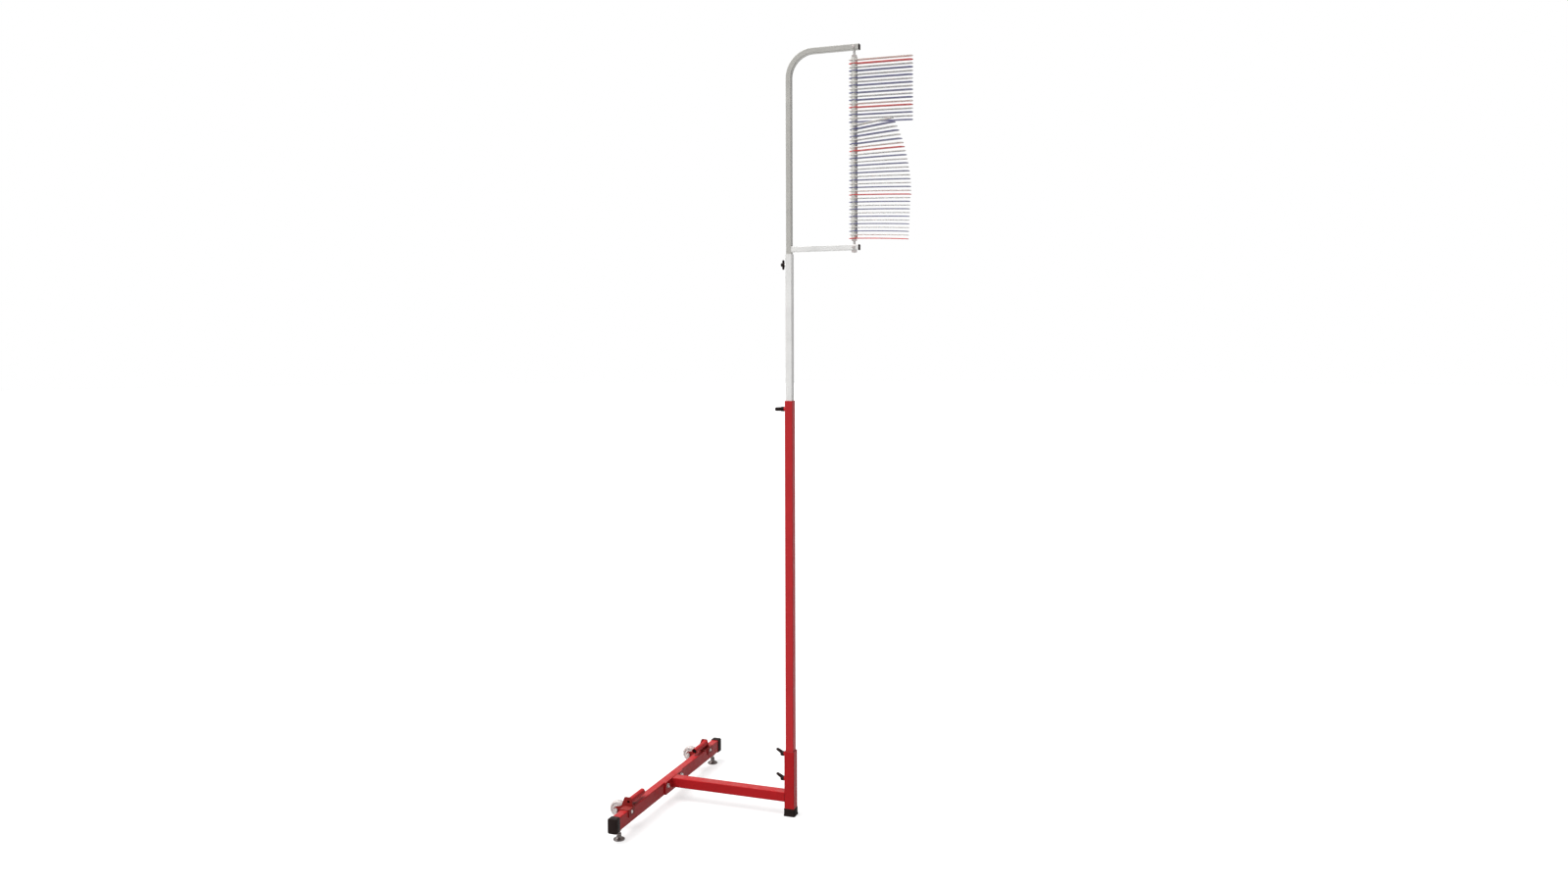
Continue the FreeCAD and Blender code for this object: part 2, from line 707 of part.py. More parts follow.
# ---- levers and knob -----------------------------------------------------------------------------
def clamp_lever(tube_side, inner_side, z, turn):
    """Screw with a slanted one-armed handle, on the -X face; turn is about the screw's axis."""
    face = tube_side / 2
    seat = face + lever_boss_height + turn_gap
    screw_tip = inner_side / 2 + 2 * running_gap
    screw = rod(lever_screw_size / 2, (-screw_tip, 0, 0), (-seat, 0, 0))
    hub = rod(lever_hub_radius, (-seat, 0, 0), (-seat - lever_hub_length, 0, 0))
    half = lever_width / 2
    outline = [(-seat, -lever_arm_root), (-seat, lever_arm_root)]
    outline += [(-seat - out, up) for out, up in lever_arm_outline]
    arm = plate_xz(outline, -half, half)
    edges = [e for e in arm.Edges
             if abs(e.CenterOfMass.y) > half - 0.01 and e.CenterOfMass.x < -seat - cut_past]
    arm = arm.makeFillet(lever_edge_round, edges)
    handle = hub.fuse(arm).removeSplitter()
    shape = handle.fuse(screw).removeSplitter()
    shape.rotate(Vector(0, 0, 0), Vector(1, 0, 0), turn)
    shape.translate(Vector(0, 0, z))
    return shape


def frame_knob():
    """Wing knob that clamps the upper frame in the middle post."""
    face = middle_side / 2
    seat = face + knob_boss_height + turn_gap
    z = middle_top - knob_below_top
    screw = rod(knob_screw_size / 2, (-(upper_side / 2 + 2 * running_gap), 0, z), (-seat, 0, z))
    hub = rod(knob_hub_radius, (-seat, 0, z), (-seat - knob_hub_length, 0, z))
    section = bar_section(knob_wing_thickness, knob_span, knob_wing_thickness / 2 - 0.01)
    wings = along_x(section, -seat - knob_wing_end, -seat - knob_wing_start, 0, z)
    return hub.fuse([wings, screw]).removeSplitter()


# ---- export --------------------------------------------------------------------------------------
def group(shapes):
    """Separate solids of one node."""
    solids = []
    for shape in shapes:
        solids.extend(shape.Solids)
    return Part.makeCompound(solids)


def both_sides(pieces):
    return group([mirrored(piece, side) for side in sides.values() for piece in pieces])


def build():
    nodes = {
        "cross_tube": cross_tube(),
        "cross_tube_caps": both_sides([cross_tube_cap()]),
        "spine_tube": spine_tube(),
        "flange_plate": flange_plate(),
        "flange_bolts": group(flange_bolts()),
        "mast_socket": mast_socket(),
        "socket_liner": socket_liner(),
        "socket_foot": socket_foot(),
        "foot_bars": both_sides([foot_bar()]),
        "foot_bar_plugs": both_sides([foot_bar_plug()]),
        "bracket_bolts": both_sides(bracket_bolt()),
        "wheel_axles": both_sides(wheel_axle()),
        "axle_spacers": both_sides(axle_spacers()),
        "foot_nuts": group([foot_nut(side) for side in sides.values()]),
        "lower_post": lower_post(),
        "middle_post": middle_post(),
        "upper_frame": upper_frame(),
        "lower_arm": lower_arm(),
        "arm_caps": group([arm_cap(z) for z in (lower_arm_height, upper_arm_height)]),
        "vane_rod": vane_rod(),
        "rod_fasteners": group(rod_fasteners()),
        "vane_spacers": group(vane_spacers()),
        "post_lever": clamp_lever(lower_side, middle_side, lower_top - post_lever_below_top, 90),
        "frame_knob": frame_knob(),
    }
    for name, z in zip(("lower", "upper"), socket_lever_heights):
        nodes["socket_lever_" + name] = clamp_lever(socket_side, lower_side, z, 0)
    for name, side in sides.items():
        nodes["level_foot_" + name] = level_foot(side)
        nodes["wheel_bracket_" + name] = mirrored(wheel_bracket(), side)
        nodes["wheel_" + name] = mirrored(wheel(), side)
        nodes["wheel_bearings_" + name] = group([mirrored(b, side) for b in wheel_bearings()])
    for number in range(1, vane_count, 2):
        pair = group([vane(number), vane(number + 1)])
        nodes["vanes_%02d_%02d" % (number, number + 1)] = pair
    return nodes


os.makedirs("parts", exist_ok=True)
for node, shape in build().items():
    if not shape.isValid() or not shape.Solids:
        raise ValueError("bad shape in " + node)
    shape.exportStep(os.path.join("parts", node + ".step"))
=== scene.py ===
import math

import bmesh
import bpy
from mathutils import Matrix, Vector


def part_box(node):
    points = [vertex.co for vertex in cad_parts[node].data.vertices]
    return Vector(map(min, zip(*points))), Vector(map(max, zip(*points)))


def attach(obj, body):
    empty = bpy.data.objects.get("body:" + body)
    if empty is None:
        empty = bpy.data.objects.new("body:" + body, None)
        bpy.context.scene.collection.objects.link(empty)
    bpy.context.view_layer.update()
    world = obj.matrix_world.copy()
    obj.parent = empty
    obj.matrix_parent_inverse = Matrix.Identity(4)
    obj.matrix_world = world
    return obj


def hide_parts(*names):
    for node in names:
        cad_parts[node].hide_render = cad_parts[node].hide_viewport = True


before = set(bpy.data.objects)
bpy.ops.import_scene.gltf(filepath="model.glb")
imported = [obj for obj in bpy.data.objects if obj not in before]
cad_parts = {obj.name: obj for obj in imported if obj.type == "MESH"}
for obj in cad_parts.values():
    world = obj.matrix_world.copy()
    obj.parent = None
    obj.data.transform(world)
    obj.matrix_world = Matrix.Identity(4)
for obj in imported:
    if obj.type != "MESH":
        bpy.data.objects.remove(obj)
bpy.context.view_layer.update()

# Sizes in metres. +X points along the vane arms, +Z up, origin on the floor under the mast.
CROSS_X = -0.490
CROSS_TOP = 0.088
CROSS_BOTTOM = 0.040
CROSS_END = 0.458
CROSS_WIDTH = 0.030
CROSS_HEIGHT = 0.048
END_CAP_WALL = 0.003
FLANGE_FACE = -0.470
FLANGE_BOLT_Y = 0.059
FLANGE_BOLT_RISE = 0.008
SPINE_WIDTH = 0.040
SPINE_HEIGHT = 0.036
FOOT_Y = 0.410
WHEEL_X = -0.545
WHEEL_Y = 0.310
WHEEL_Z = 0.068
WHEEL_HALF = 0.012
FORK_HALF_GAP = 0.014
FORK_END = 0.010
FORK_PLATE = 0.004
SADDLE_SHEET = 0.003
SADDLE_OVERHANG = 0.034
SADDLE_BOLT_OUT = 0.010
STAND_Y = 0.334
BAR_RISE = 0.019
SOCKET_SIDE = 0.038
POST_SIDE = 0.030
MIDDLE_SIDE = 0.025
FRAME_SIDE = 0.020
LOWER_LEVER_Z = 0.1334
UPPER_LEVER_Z = 0.225
POST_LEVER_Z = 1.491
LEVER_BOSS = 0.006
KNOB_BOSS = 0.004
TURN_GAP = 0.0003
ROD_X = 0.2434
M10_SIZE = 0.010
M10_BORE = 0.00505
M10_PITCH = 0.0015
M10_NUT_ACROSS = 0.017
M10_NUT_HEIGHT = 0.008
ARM_BEYOND_ROD = 0.017
LOWER_ARM_Z = 2.0657
UPPER_ARM_Z = 2.7637
VANE_COUNT = 50
VANE_PITCH = 0.0127
LOWEST_VANE_Z = 2.0969
VANE_WIDTH = 0.024
VANE_THICKNESS = 0.002
VANE_REACH = 0.211
VANE_STUB = 0.0195
SPACER_GAP = 0.0001
TOP_SPACER = 0.008
STACK_BOTTOM = LOWEST_VANE_Z - VANE_THICKNESS / 2 - SPACER_GAP
HIGHEST_VANE_Z = LOWEST_VANE_Z + VANE_PITCH * (VANE_COUNT - 1)
STACK_TOP = HIGHEST_VANE_Z + VANE_THICKNESS / 2 + SPACER_GAP + TOP_SPACER

TOWARD_X = Matrix.Rotation(math.radians(90), 4, "Y")
AWAY_X = Matrix.Rotation(math.radians(-90), 4, "Y")
TOWARD_Y = Matrix.Rotation(math.radians(-90), 4, "X")
AWAY_Y = Matrix.Rotation(math.radians(90), 4, "X")
DOWN = Matrix.Rotation(math.radians(180), 4, "X")
SIDES = {"left": 1, "right": -1}


# ---- shapes ------------------------------------------------------------------------------
def at(x, y, z, turn=None):
    """Place a shape at a point, after turning it."""
    place = Matrix.Translation((x, y, z))
    return place @ turn if turn else place


def put(piece, shape, place=None):
    """Add a finished shape to a piece."""
    if place:
        bmesh.ops.transform(shape, matrix=place, verts=shape.verts)
    mesh = bpy.data.meshes.new("shape")
    shape.to_mesh(mesh)
    shape.free()
    piece.from_mesh(mesh)
    bpy.data.meshes.remove(mesh)


def turned(profile, steps=40, closed=False):
    """Spin (radius, height) points round Z. A closed profile makes a ring with a bore."""
    shape = bmesh.new()
    verts = [shape.verts.new((radius, 0, height)) for radius, height in profile]
    pairs = list(zip(verts, verts[1:]))
    if closed:
        pairs.append((verts[-1], verts[0]))
    edges = [shape.edges.new(pair) for pair in pairs]
    bmesh.ops.spin(shape, geom=verts + edges, cent=(0, 0, 0), axis=(0, 0, 1), dvec=(0, 0, 0),
                   angle=math.tau, steps=steps, use_merge=True)
    bmesh.ops.remove_doubles(shape, verts=shape.verts, dist=1e-6)
    bmesh.ops.recalc_face_normals(shape, faces=shape.faces)
    return shape


def washer(outer, bore, thickness):
    """Flat ring with broken edges, standing on Z = 0."""
    edge = thickness * 0.2
    return turned([(bore, 0), (outer - edge, 0), (outer, edge), (outer, thickness - edge),
                   (outer - edge, thickness), (bore, thickness)], 32, closed=True)


def pulled(shape, loop):
    """Extrude a loop of edges and give the new loop."""
    made = bmesh.ops.extrude_edge_only(shape, edges=loop)["geom"]
    return [part for part in made if isinstance(part, bmesh.types.BMEdge)]


def thickened(shape, offset):
    """Give a sheet its thickness by extruding all of it along an offset."""
    made = bmesh.ops.extrude_face_region(shape, geom=shape.faces[:], use_keep_orig=True)["geom"]
    far = [part for part in made if isinstance(part, bmesh.types.BMVert)]
    bmesh.ops.translate(shape, vec=offset, verts=far)
    bmesh.ops.recalc_face_normals(shape, faces=shape.faces)
    return shape


def hexagon(across, height, bore=0.0, both_ends=False):
    """Hexagonal head or nut on Z = 0, with its corners turned off at the top."""
    shape = bmesh.new()
    ring = bmesh.ops.create_circle(shape, segments=6, radius=across / math.sqrt(3))["verts"]
    edges = list({edge for vert in ring for edge in vert.link_edges})
    bmesh.ops.subdivide_edges(shape, edges=edges, cuts=5)
    bottom = list(shape.edges)
    flat = across * 0.475
    middle = max(bore, across * 0.2)

    def crown(loop, level, way):
        """Slope the corners away from a round flat, then close in to the bore or the middle."""
        for vert in {v for edge in loop for v in edge.verts}:
            vert.co.z = level - way * max(0.0, vert.co.xy.length - flat) * 0.58
        for radius in (flat, middle):
            loop = pulled(shape, loop)
            for vert in {v for edge in loop for v in edge.verts}:
                vert.co.xy = vert.co.xy.normalized() * radius
                vert.co.z = level
        return loop

    top_rim = crown(pulled(shape, bottom), height, 1)
    if both_ends:
        bottom_rim = crown(bottom, 0, -1)
    else:
        bottom_rim = pulled(shape, bottom)
        for vert in {v for edge in bottom_rim for v in edge.verts}:
            vert.co.xy = vert.co.xy.normalized() * middle
    if bore:
        bmesh.ops.bridge_loops(shape, edges=top_rim + bottom_rim)
    else:
        bmesh.ops.contextual_create(shape, geom=top_rim)
        bmesh.ops.contextual_create(shape, geom=bottom_rim)
    bmesh.ops.recalc_face_normals(shape, faces=shape.faces)
    return shape


def m10_nut():
    """Nut of the vane rod and of the foot stems."""
    return hexagon(M10_NUT_ACROSS, M10_NUT_HEIGHT, M10_BORE, both_ends=True)


def thread(size, pitch, length):
    """Helical ridge round a screw, rising from Z = 0."""
    steps = 20
    shape = bmesh.new()
    root = size / 2 - 0.6 * pitch
    profile = ((root, 0), (size / 2, pitch * 0.42), (size / 2, pitch * 0.58), (root, pitch))
    verts = [shape.verts.new((radius, 0, height)) for radius, height in profile]
    edges = [shape.edges.new(pair) for pair in zip(verts, verts[1:])]
    turns = max(1, int(length / pitch) - 1)
    bmesh.ops.spin(shape, geom=verts + edges, cent=(0, 0, 0), axis=(0, 0, 1),
                   dvec=(0, 0, pitch / steps), angle=math.tau * turns, steps=steps * turns)
    bmesh.ops.remove_doubles(shape, verts=shape.verts, dist=1e-6)
    bmesh.ops.holes_fill(shape, edges=shape.edges)
    bmesh.ops.recalc_face_normals(shape, faces=shape.faces)
    return shape


def threaded_end(size, pitch, length):
    """End of a screw: thread, core and a bevelled point, rising from Z = 0."""
    shape = bmesh.new()
    core = size / 2 - 0.55 * pitch
    point = [(core, length - pitch), (core * 0.8, length), (0, length)]
    put(shape, turned([(0, 0), (core, 0)] + point, 20))
    put(shape, thread(size, pitch, length))
    return shape


def stacked(width, depth, corner, layers, cuts=4):
    """Rounded rectangle drawn up through layers of (height, inset); the last one is closed."""
    shape = bmesh.new()
    corners = ((-1, -1), (1, -1), (1, 1), (-1, 1))
    verts = [shape.verts.new((x * width / 2, y * depth / 2, layers[0][0])) for x, y in corners]
    shape.faces.new(verts)
    bmesh.ops.bevel(shape, geom=shape.verts[:], offset=corner, segments=cuts, profile=0.5,
                    affect="VERTICES", material=-1)
    face = shape.faces[:][0]
    inset = layers[0][1]
    if inset:
        bmesh.ops.scale(shape, vec=((width - 2 * inset) / width, (depth - 2 * inset) / depth, 1),
                        verts=face.verts)
    for height, wanted in layers[1:]:
        if shape.faces[:] == [face]:
            made = bmesh.ops.extrude_face_region(shape, geom=[face], use_keep_orig=True)["geom"]
        else:
            made = bmesh.ops.extrude_discrete_faces(shape, faces=[face])["faces"]
        face = [part for part in made if isinstance(part, bmesh.types.BMFace)][0]
        level = face.verts[0].co.z
        bmesh.ops.translate(shape, vec=(0, 0, height - level), verts=face.verts)
        bmesh.ops.scale(shape, vec=((width - 2 * wanted) / (width - 2 * inset),
                                    (depth - 2 * wanted) / (depth - 2 * inset), 1), verts=face.verts)
        inset = wanted
    bmesh.ops.recalc_face_normals(shape, faces=shape.faces)
    return shape


def lofted(places, segments=12):
    """Skin over rings; each place carries a unit circle to its ring."""
    shape = bmesh.new()
    rings = []
    for place in places:
        verts = bmesh.ops.create_circle(shape, segments=segments, radius=1.0, matrix=place)["verts"]
        rings.append(list({edge for vert in verts for edge in vert.link_edges}))
    for ring, following in zip(rings, rings[1:]):
        bmesh.ops.bridge_loops(shape, edges=ring + following)
    bmesh.ops.contextual_create(shape, geom=rings[0])
    bmesh.ops.contextual_create(shape, geom=rings[-1])
    bmesh.ops.recalc_face_normals(shape, faces=shape.faces)
    return shape


def ring_place(centre, along, width, thickness, across=(0, 1, 0)):
    """Matrix of a ring: its plane faces along, its width lies across."""
    normal = Vector(along).normalized()
    side = Vector(across)
    up = normal.cross(side).normalized()
    turn = Matrix((side, up, normal)).transposed().to_4x4()
    return Matrix.Translation(centre) @ turn @ Matrix.Diagonal((width, thickness, 1, 1))


def weld_bead(corners, radius, ripple=0.0022):
    """Rippled weld bead that runs once round a loop of corner points."""
    places = []
    count = len(corners)
    for index in range(count):
        start = Vector(corners[index])
        end = Vector(corners[(index + 1) % count])
        run = end - start
        steps = max(2, int(run.length / ripple))
        side = run.normalized().orthogonal().normalized()
        for step in range(steps * 2):
            swell = 1.0 if step % 2 else 0.8
            centre = start + run * (step + 0.5) / (steps * 2)
            places.append(ring_place(centre, run, radius * swell, radius * swell, side))
    return lofted(places, 8)


def sheet_plate(outline, thickness, rounds=(), hole=None):
    """Flat sheet from (x, z) corners, its thickness along +Y.

    rounds are (corner, radius) pairs, and hole is (x, z, radius).
    """
    shape = bmesh.new()
    verts = [shape.verts.new((x, 0, z)) for x, z in outline]
    shape.faces.new(verts)
    for radius in sorted({radius for _, radius in rounds}):
        chosen = [verts[index] for index, size in rounds if size == radius]
        bmesh.ops.bevel(shape, geom=chosen, offset=radius, segments=6, profile=0.5,
                        affect="VERTICES", material=-1)
    if hole:
        bmesh.ops.delete(shape, geom=shape.faces[:], context="FACES_ONLY")
        x, z, radius = hole
        bmesh.ops.create_circle(shape, segments=32, radius=radius, matrix=at(x, 0, z, AWAY_Y))
        bmesh.ops.triangle_fill(shape, edges=shape.edges[:], use_beauty=True)
    return thickened(shape, (0, thickness, 0))


def shank(radius, length):
    """Plain round bar standing on Z = 0."""
    return turned([(0, 0), (radius, 0), (radius, length), (0, length)], 20)


def tube_sleeve(outer, inner, start, end, edge=0.0006):
    """Round tube along Z with broken edges."""
    return turned([(inner, start), (outer - edge, start), (outer, start + edge), (outer, end - edge),
                   (outer - edge, end), (inner, end)], 40, closed=True)


def finished(name, shape, body, finish, nodes=(), edge=0.0, corner=35):
    """Make a piece of the tester from a shape, in its finish, riding on its body."""
    mesh = bpy.data.meshes.new(name)
    shape.to_mesh(mesh)
    shape.free()
    mesh.materials.append(finish)
    mesh.shade_smooth()
    mesh.set_sharp_from_angle(angle=math.radians(corner))
    piece = bpy.data.objects.new(name, mesh)
    bpy.context.scene.collection.objects.link(piece)
    if edge:
        bevel = piece.modifiers.new("broken edges", "BEVEL")
        bevel.width = edge
        bevel.segments = 2
        bevel.limit_method = "ANGLE"
        bevel.angle_limit = math.radians(corner)
        bevel.harden_normals = True
    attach(piece, body)
    if nodes:
        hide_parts(*nodes)
    return piece


# ---- surface effects -----------------------------------------------------------------------
def effect(name, inputs, outputs):
    """Start a node group with float or colour sockets and object coordinates inside."""
    group = bpy.data.node_groups.new(name, "ShaderNodeTree")
    kinds = {"value": "NodeSocketFloat", "colour": "NodeSocketColor", "vector": "NodeSocketVector"}
    for label, kind, default in inputs:
        socket = group.interface.new_socket(label, in_out="INPUT", socket_type=kinds[kind])
        socket.default_value = default
    for label, kind in outputs:
        group.interface.new_socket(label, in_out="OUTPUT", socket_type=kinds[kind])
    entry = group.nodes.new("NodeGroupInput")
    leave = group.nodes.new("NodeGroupOutput")
    where = group.nodes.new("ShaderNodeTexCoord")
    return group, entry, leave, where.outputs["Object"]


def wire(tree, source, target):
    tree.links.new(source, target)


def feed(tree, value, socket):
    """Give a socket a number or colour of its own, or link it to another node."""
    if isinstance(value, (int, float, tuple)):
        socket.default_value = value
    else:
        wire(tree, value, socket)


def noise(tree, vector, scale, detail=3.0, rough=0.55):
    node = tree.nodes.new("ShaderNodeTexNoise")
    node.inputs["Detail"].default_value = detail
    node.inputs["Roughness"].default_value = rough
    wire(tree, vector, node.inputs["Vector"])
    feed(tree, scale, node.inputs["Scale"])
    return node.outputs["Fac"]


def maths(tree, kind, first, second, clamp=False):
    node = tree.nodes.new("ShaderNodeMath")
    node.operation = kind
    node.use_clamp = clamp
    feed(tree, first, node.inputs[0])
    feed(tree, second, node.inputs[1])
    return node.outputs[0]


def spread(tree, value, low, high, new_low=0.0, new_high=1.0):
    """Stretch a run of values onto another, held at its ends."""
    node = tree.nodes.new("ShaderNodeMapRange")
    node.clamp = True
    node.inputs["From Min"].default_value = low
    node.inputs["From Max"].default_value = high
    node.inputs["To Min"].default_value = new_low
    node.inputs["To Max"].default_value = new_high
    wire(tree, value, node.inputs["Value"])
    return node.outputs["Result"]


def blended(tree, factor, first, second):
    node = tree.nodes.new("ShaderNodeMix")
    node.data_type = "RGBA"
    node.clamp_factor = True
    for label, value in (("Factor", factor), ("A", first), ("B", second)):
        socket = [s for s in node.inputs if s.name == label and s.enabled][0]
        feed(tree, value, socket)
    return [s for s in node.outputs if s.enabled][0]


def masked(group, entry, leave, where_on, where_broken):
    """Put out a mask: a region, broken up by a pattern, times the amount asked for."""
    both = maths(group, "MULTIPLY", where_on, where_broken)
    mask = maths(group, "MULTIPLY", both, entry.outputs["Amount"], True)
    wire(group, mask, leave.inputs["Mask"])


def make_mottle():
    """Slow change of a colour over the surface, lighter and darker."""
    group, entry, leave, where = effect(
        "Mottled Colour",
        [("Colour", "colour", (0.5, 0.5, 0.5, 1)), ("Scale", "value", 12.0),
         ("Amount", "value", 0.08)],
        [("Colour", "colour"), ("Mask", "value")])
    patch = noise(group, where, entry.outputs["Scale"], 4.0, 0.6)
    centred = maths(group, "SUBTRACT", patch, 0.5)
    swing = maths(group, "MULTIPLY", entry.outputs["Amount"], 4.0)
    gain = maths(group, "ADD", maths(group, "MULTIPLY", centred, swing), 1.0)
    scale = group.nodes.new("ShaderNodeVectorMath")
    scale.operation = "SCALE"
    wire(group, entry.outputs["Colour"], scale.inputs[0])
    wire(group, gain, scale.inputs["Scale"])
    wire(group, scale.outputs[0], leave.inputs["Colour"])
    wire(group, patch, leave.inputs["Mask"])
    return group


def make_orange_peel():
    """Fine even waviness of a baked powder coat."""
    group, entry, leave, where = effect(
        "Orange Peel", [("Scale", "value", 420.0), ("Depth", "value", 1.0)], [("Height", "value")])
    fine = noise(group, where, entry.outputs["Scale"], 2.0, 0.5)
    wide = noise(group, where, maths(group, "MULTIPLY", entry.outputs["Scale"], 0.22), 2.0, 0.5)
    both = maths(group, "ADD", fine, maths(group, "MULTIPLY", wide, 0.8))
    wire(group, maths(group, "MULTIPLY", both, entry.outputs["Depth"]), leave.inputs["Height"])
    return group


def make_scratches():
    """Thin marks drawn out along one axis, few and broken."""
    group, entry, leave, where = effect(
        "Drawn Scratches",
        [("Stretch", "vector", (300.0, 300.0, 6.0)), ("Amount", "value", 0.3)], [("Mask", "value")])
    stretched = group.nodes.new("ShaderNodeVectorMath")
    stretched.operation = "MULTIPLY"
    wire(group, where, stretched.inputs[0])
    wire(group, entry.outputs["Stretch"], stretched.inputs[1])
    lines = noise(group, stretched.outputs[0], 1.0, 2.0, 0.5)
    thin = spread(group, lines, 0.66, 0.74)
    broken = spread(group, noise(group, where, 18.0, 2.0, 0.5), 0.45, 0.62)
    masked(group, entry, leave, thin, broken)
    return group


def make_dust():
    """Dust that settles in patches on faces that look up."""
    group, entry, leave, where = effect(
        "Settled Dust", [("Amount", "value", 0.25), ("Scale", "value", 30.0)], [("Mask", "value")])
    surface = group.nodes.new("ShaderNodeNewGeometry")
    split = group.nodes.new("ShaderNodeSeparateXYZ")
    wire(group, surface.outputs["Normal"], split.inputs[0])
    upward = spread(group, split.outputs["Z"], 0.55, 0.95)
    patches = spread(group, noise(group, where, entry.outputs["Scale"], 5.0, 0.65), 0.38, 0.7)
    masked(group, entry, leave, upward, patches)
    return group


def make_edge_wear():
    """Rubbed outer edges, found from how a rounded edge would turn the surface."""
    group, entry, leave, where = effect(
        "Edge Wear", [("Radius", "value", 0.0012), ("Amount", "value", 0.4)], [("Mask", "value")])
    rounded = group.nodes.new("ShaderNodeBevel")
    rounded.samples = 4
    wire(group, entry.outputs["Radius"], rounded.inputs["Radius"])
    surface = group.nodes.new("ShaderNodeNewGeometry")
    turn = group.nodes.new("ShaderNodeVectorMath")
    turn.operation = "DOT_PRODUCT"
    wire(group, rounded.outputs[0], turn.inputs[0])
    wire(group, surface.outputs["Normal"], turn.inputs[1])
    edge = spread(group, turn.outputs["Value"], 0.97, 0.8)
    chips = spread(group, noise(group, where, 160.0, 4.0, 0.7), 0.5, 0.66)
    masked(group, entry, leave, edge, chips)
    return group


MOTTLE = make_mottle()
ORANGE_PEEL = make_orange_peel()
SCRATCHES = make_scratches()
DUST = make_dust()
EDGE_WEAR = make_edge_wear()


# ---- finishes ------------------------------------------------------------------------------
def finish_base(name, roughness, metallic=0.0, specular=0.5):
    """New material with its Principled shader."""
    made = bpy.data.materials.new(name)
    made.use_nodes = True
    tree = made.node_tree
    shader = tree.nodes["Principled BSDF"]
    shader.inputs["Roughness"].default_value = roughness
    shader.inputs["Metallic"].default_value = metallic
    shader.inputs["Specular IOR Level"].default_value = specular
    return made, tree, shader


def placed(tree, group, **values):
    """Put an effect into a material with its own values."""
    node = tree.nodes.new("ShaderNodeGroup")
    node.node_tree = group
    for label, value in values.items():
        node.inputs[label].default_value = value
    return node


def bumped(tree, shader, height, distance, strength=1.0):
    bump = tree.nodes.new("ShaderNodeBump")
    bump.inputs["Distance"].default_value = distance
    bump.inputs["Strength"].default_value = strength
    wire(tree, height, bump.inputs["Height"])
    wire(tree, bump.outputs["Normal"], shader.inputs["Normal"])


def tone(red, green, blue):
    return (red, green, blue, 1.0)


def darker(colour, share):
    return tone(*(share * part for part in colour[:3]))


DUST_TONE = tone(0.46, 0.42, 0.38)
BARE_METAL = tone(0.45, 0.44, 0.42)


def powder_coat(name, colour, roughness, specular, worn=0.3, scratched=0.25,
                stretch=(260.0, 260.0, 9.0)):
    """Baked powder coat on steel: orange peel, slow mottle, rubbed edges, dust on top."""
    made, tree, shader = finish_base(name, roughness, 0.0, specular)
    coat = placed(tree, MOTTLE, Colour=colour, Scale=14.0, Amount=0.07)
    dusty = placed(tree, DUST, Amount=0.10, Scale=38.0)
    edges = placed(tree, EDGE_WEAR, Radius=0.0011, Amount=worn)
    marks = placed(tree, SCRATCHES, Stretch=stretch, Amount=scratched)
    marked = blended(tree, marks.outputs["Mask"], coat.outputs["Colour"], darker(colour, 0.55))
    rubbed = blended(tree, edges.outputs["Mask"], marked, BARE_METAL)
    final = blended(tree, dusty.outputs["Mask"], rubbed, DUST_TONE)
    wire(tree, final, shader.inputs["Base Color"])
    rough = spread(tree, coat.outputs["Mask"], 0.3, 0.7, roughness - 0.05, roughness + 0.07)
    dulled = maths(tree, "MULTIPLY", dusty.outputs["Mask"], 0.5)
    wire(tree, maths(tree, "ADD", rough, dulled, True), shader.inputs["Roughness"])
    peel = placed(tree, ORANGE_PEEL, Scale=420.0, Depth=1.0)
    bumped(tree, shader, peel.outputs["Height"], 0.00012)
    return made


def plated_metal(name, colour, roughness=0.34, metallic=0.9, grain=(900.0, 900.0, 900.0)):
    """Zinc or bright steel: fine grain, patchy dulling."""
    made, tree, shader = finish_base(name, roughness, metallic)
    skin = placed(tree, MOTTLE, Colour=colour, Scale=90.0, Amount=0.12)
    marks = placed(tree, SCRATCHES, Stretch=grain, Amount=0.5)
    shade = blended(tree, marks.outputs["Mask"], skin.outputs["Colour"], darker(colour, 0.6))
    wire(tree, shade, shader.inputs["Base Color"])
    wire(tree, spread(tree, skin.outputs["Mask"], 0.3, 0.7, roughness - 0.06, roughness + 0.15),
         shader.inputs["Roughness"])
    peel = placed(tree, ORANGE_PEEL, Scale=900.0, Depth=1.0)
    bumped(tree, shader, peel.outputs["Height"], 0.00004)
    return made


def moulded(name, colour, roughness, specular, grain=700.0, depth=0.0001, scuffs=0.3, dust=0.1,
            subsurface=0.0, clear=0.0):
    """Moulded plastic or rubber: fine spark grain, light scuffs, a little dust."""
    made, tree, shader = finish_base(name, roughness, 0.0, specular)
    skin = placed(tree, MOTTLE, Colour=colour, Scale=60.0, Amount=0.06)
    marks = placed(tree, SCRATCHES, Stretch=(240.0, 240.0, 60.0), Amount=scuffs)
    dusty = placed(tree, DUST, Amount=dust, Scale=60.0)
    pale = tone(*(min(1.0, part * 1.25 + 0.03) for part in colour[:3]))
    marked = blended(tree, marks.outputs["Mask"], skin.outputs["Colour"], pale)
    final = blended(tree, dusty.outputs["Mask"], marked, DUST_TONE)
    wire(tree, final, shader.inputs["Base Color"])
    wire(tree, spread(tree, skin.outputs["Mask"], 0.3, 0.7, roughness - 0.06, roughness + 0.08),
         shader.inputs["Roughness"])
    if subsurface:
        shader.inputs["Subsurface Weight"].default_value = subsurface
        shader.inputs["Subsurface Radius"].default_value = (1.0, 0.85, 0.8)
        shader.inputs["Subsurface Scale"].default_value = 0.004
    shader.inputs["Transmission Weight"].default_value = clear
    peel = placed(tree, ORANGE_PEEL, Scale=grain, Depth=1.0)
    bumped(tree, shader, peel.outputs["Height"], depth)
    return made


def soft_plastic(name, colour, specular, subsurface):
    """Thin vane plastic that lets a little light in."""
    return moulded(name, colour, 0.4, specular, 360.0, 0.00006, 0.2, 0.06, subsurface)


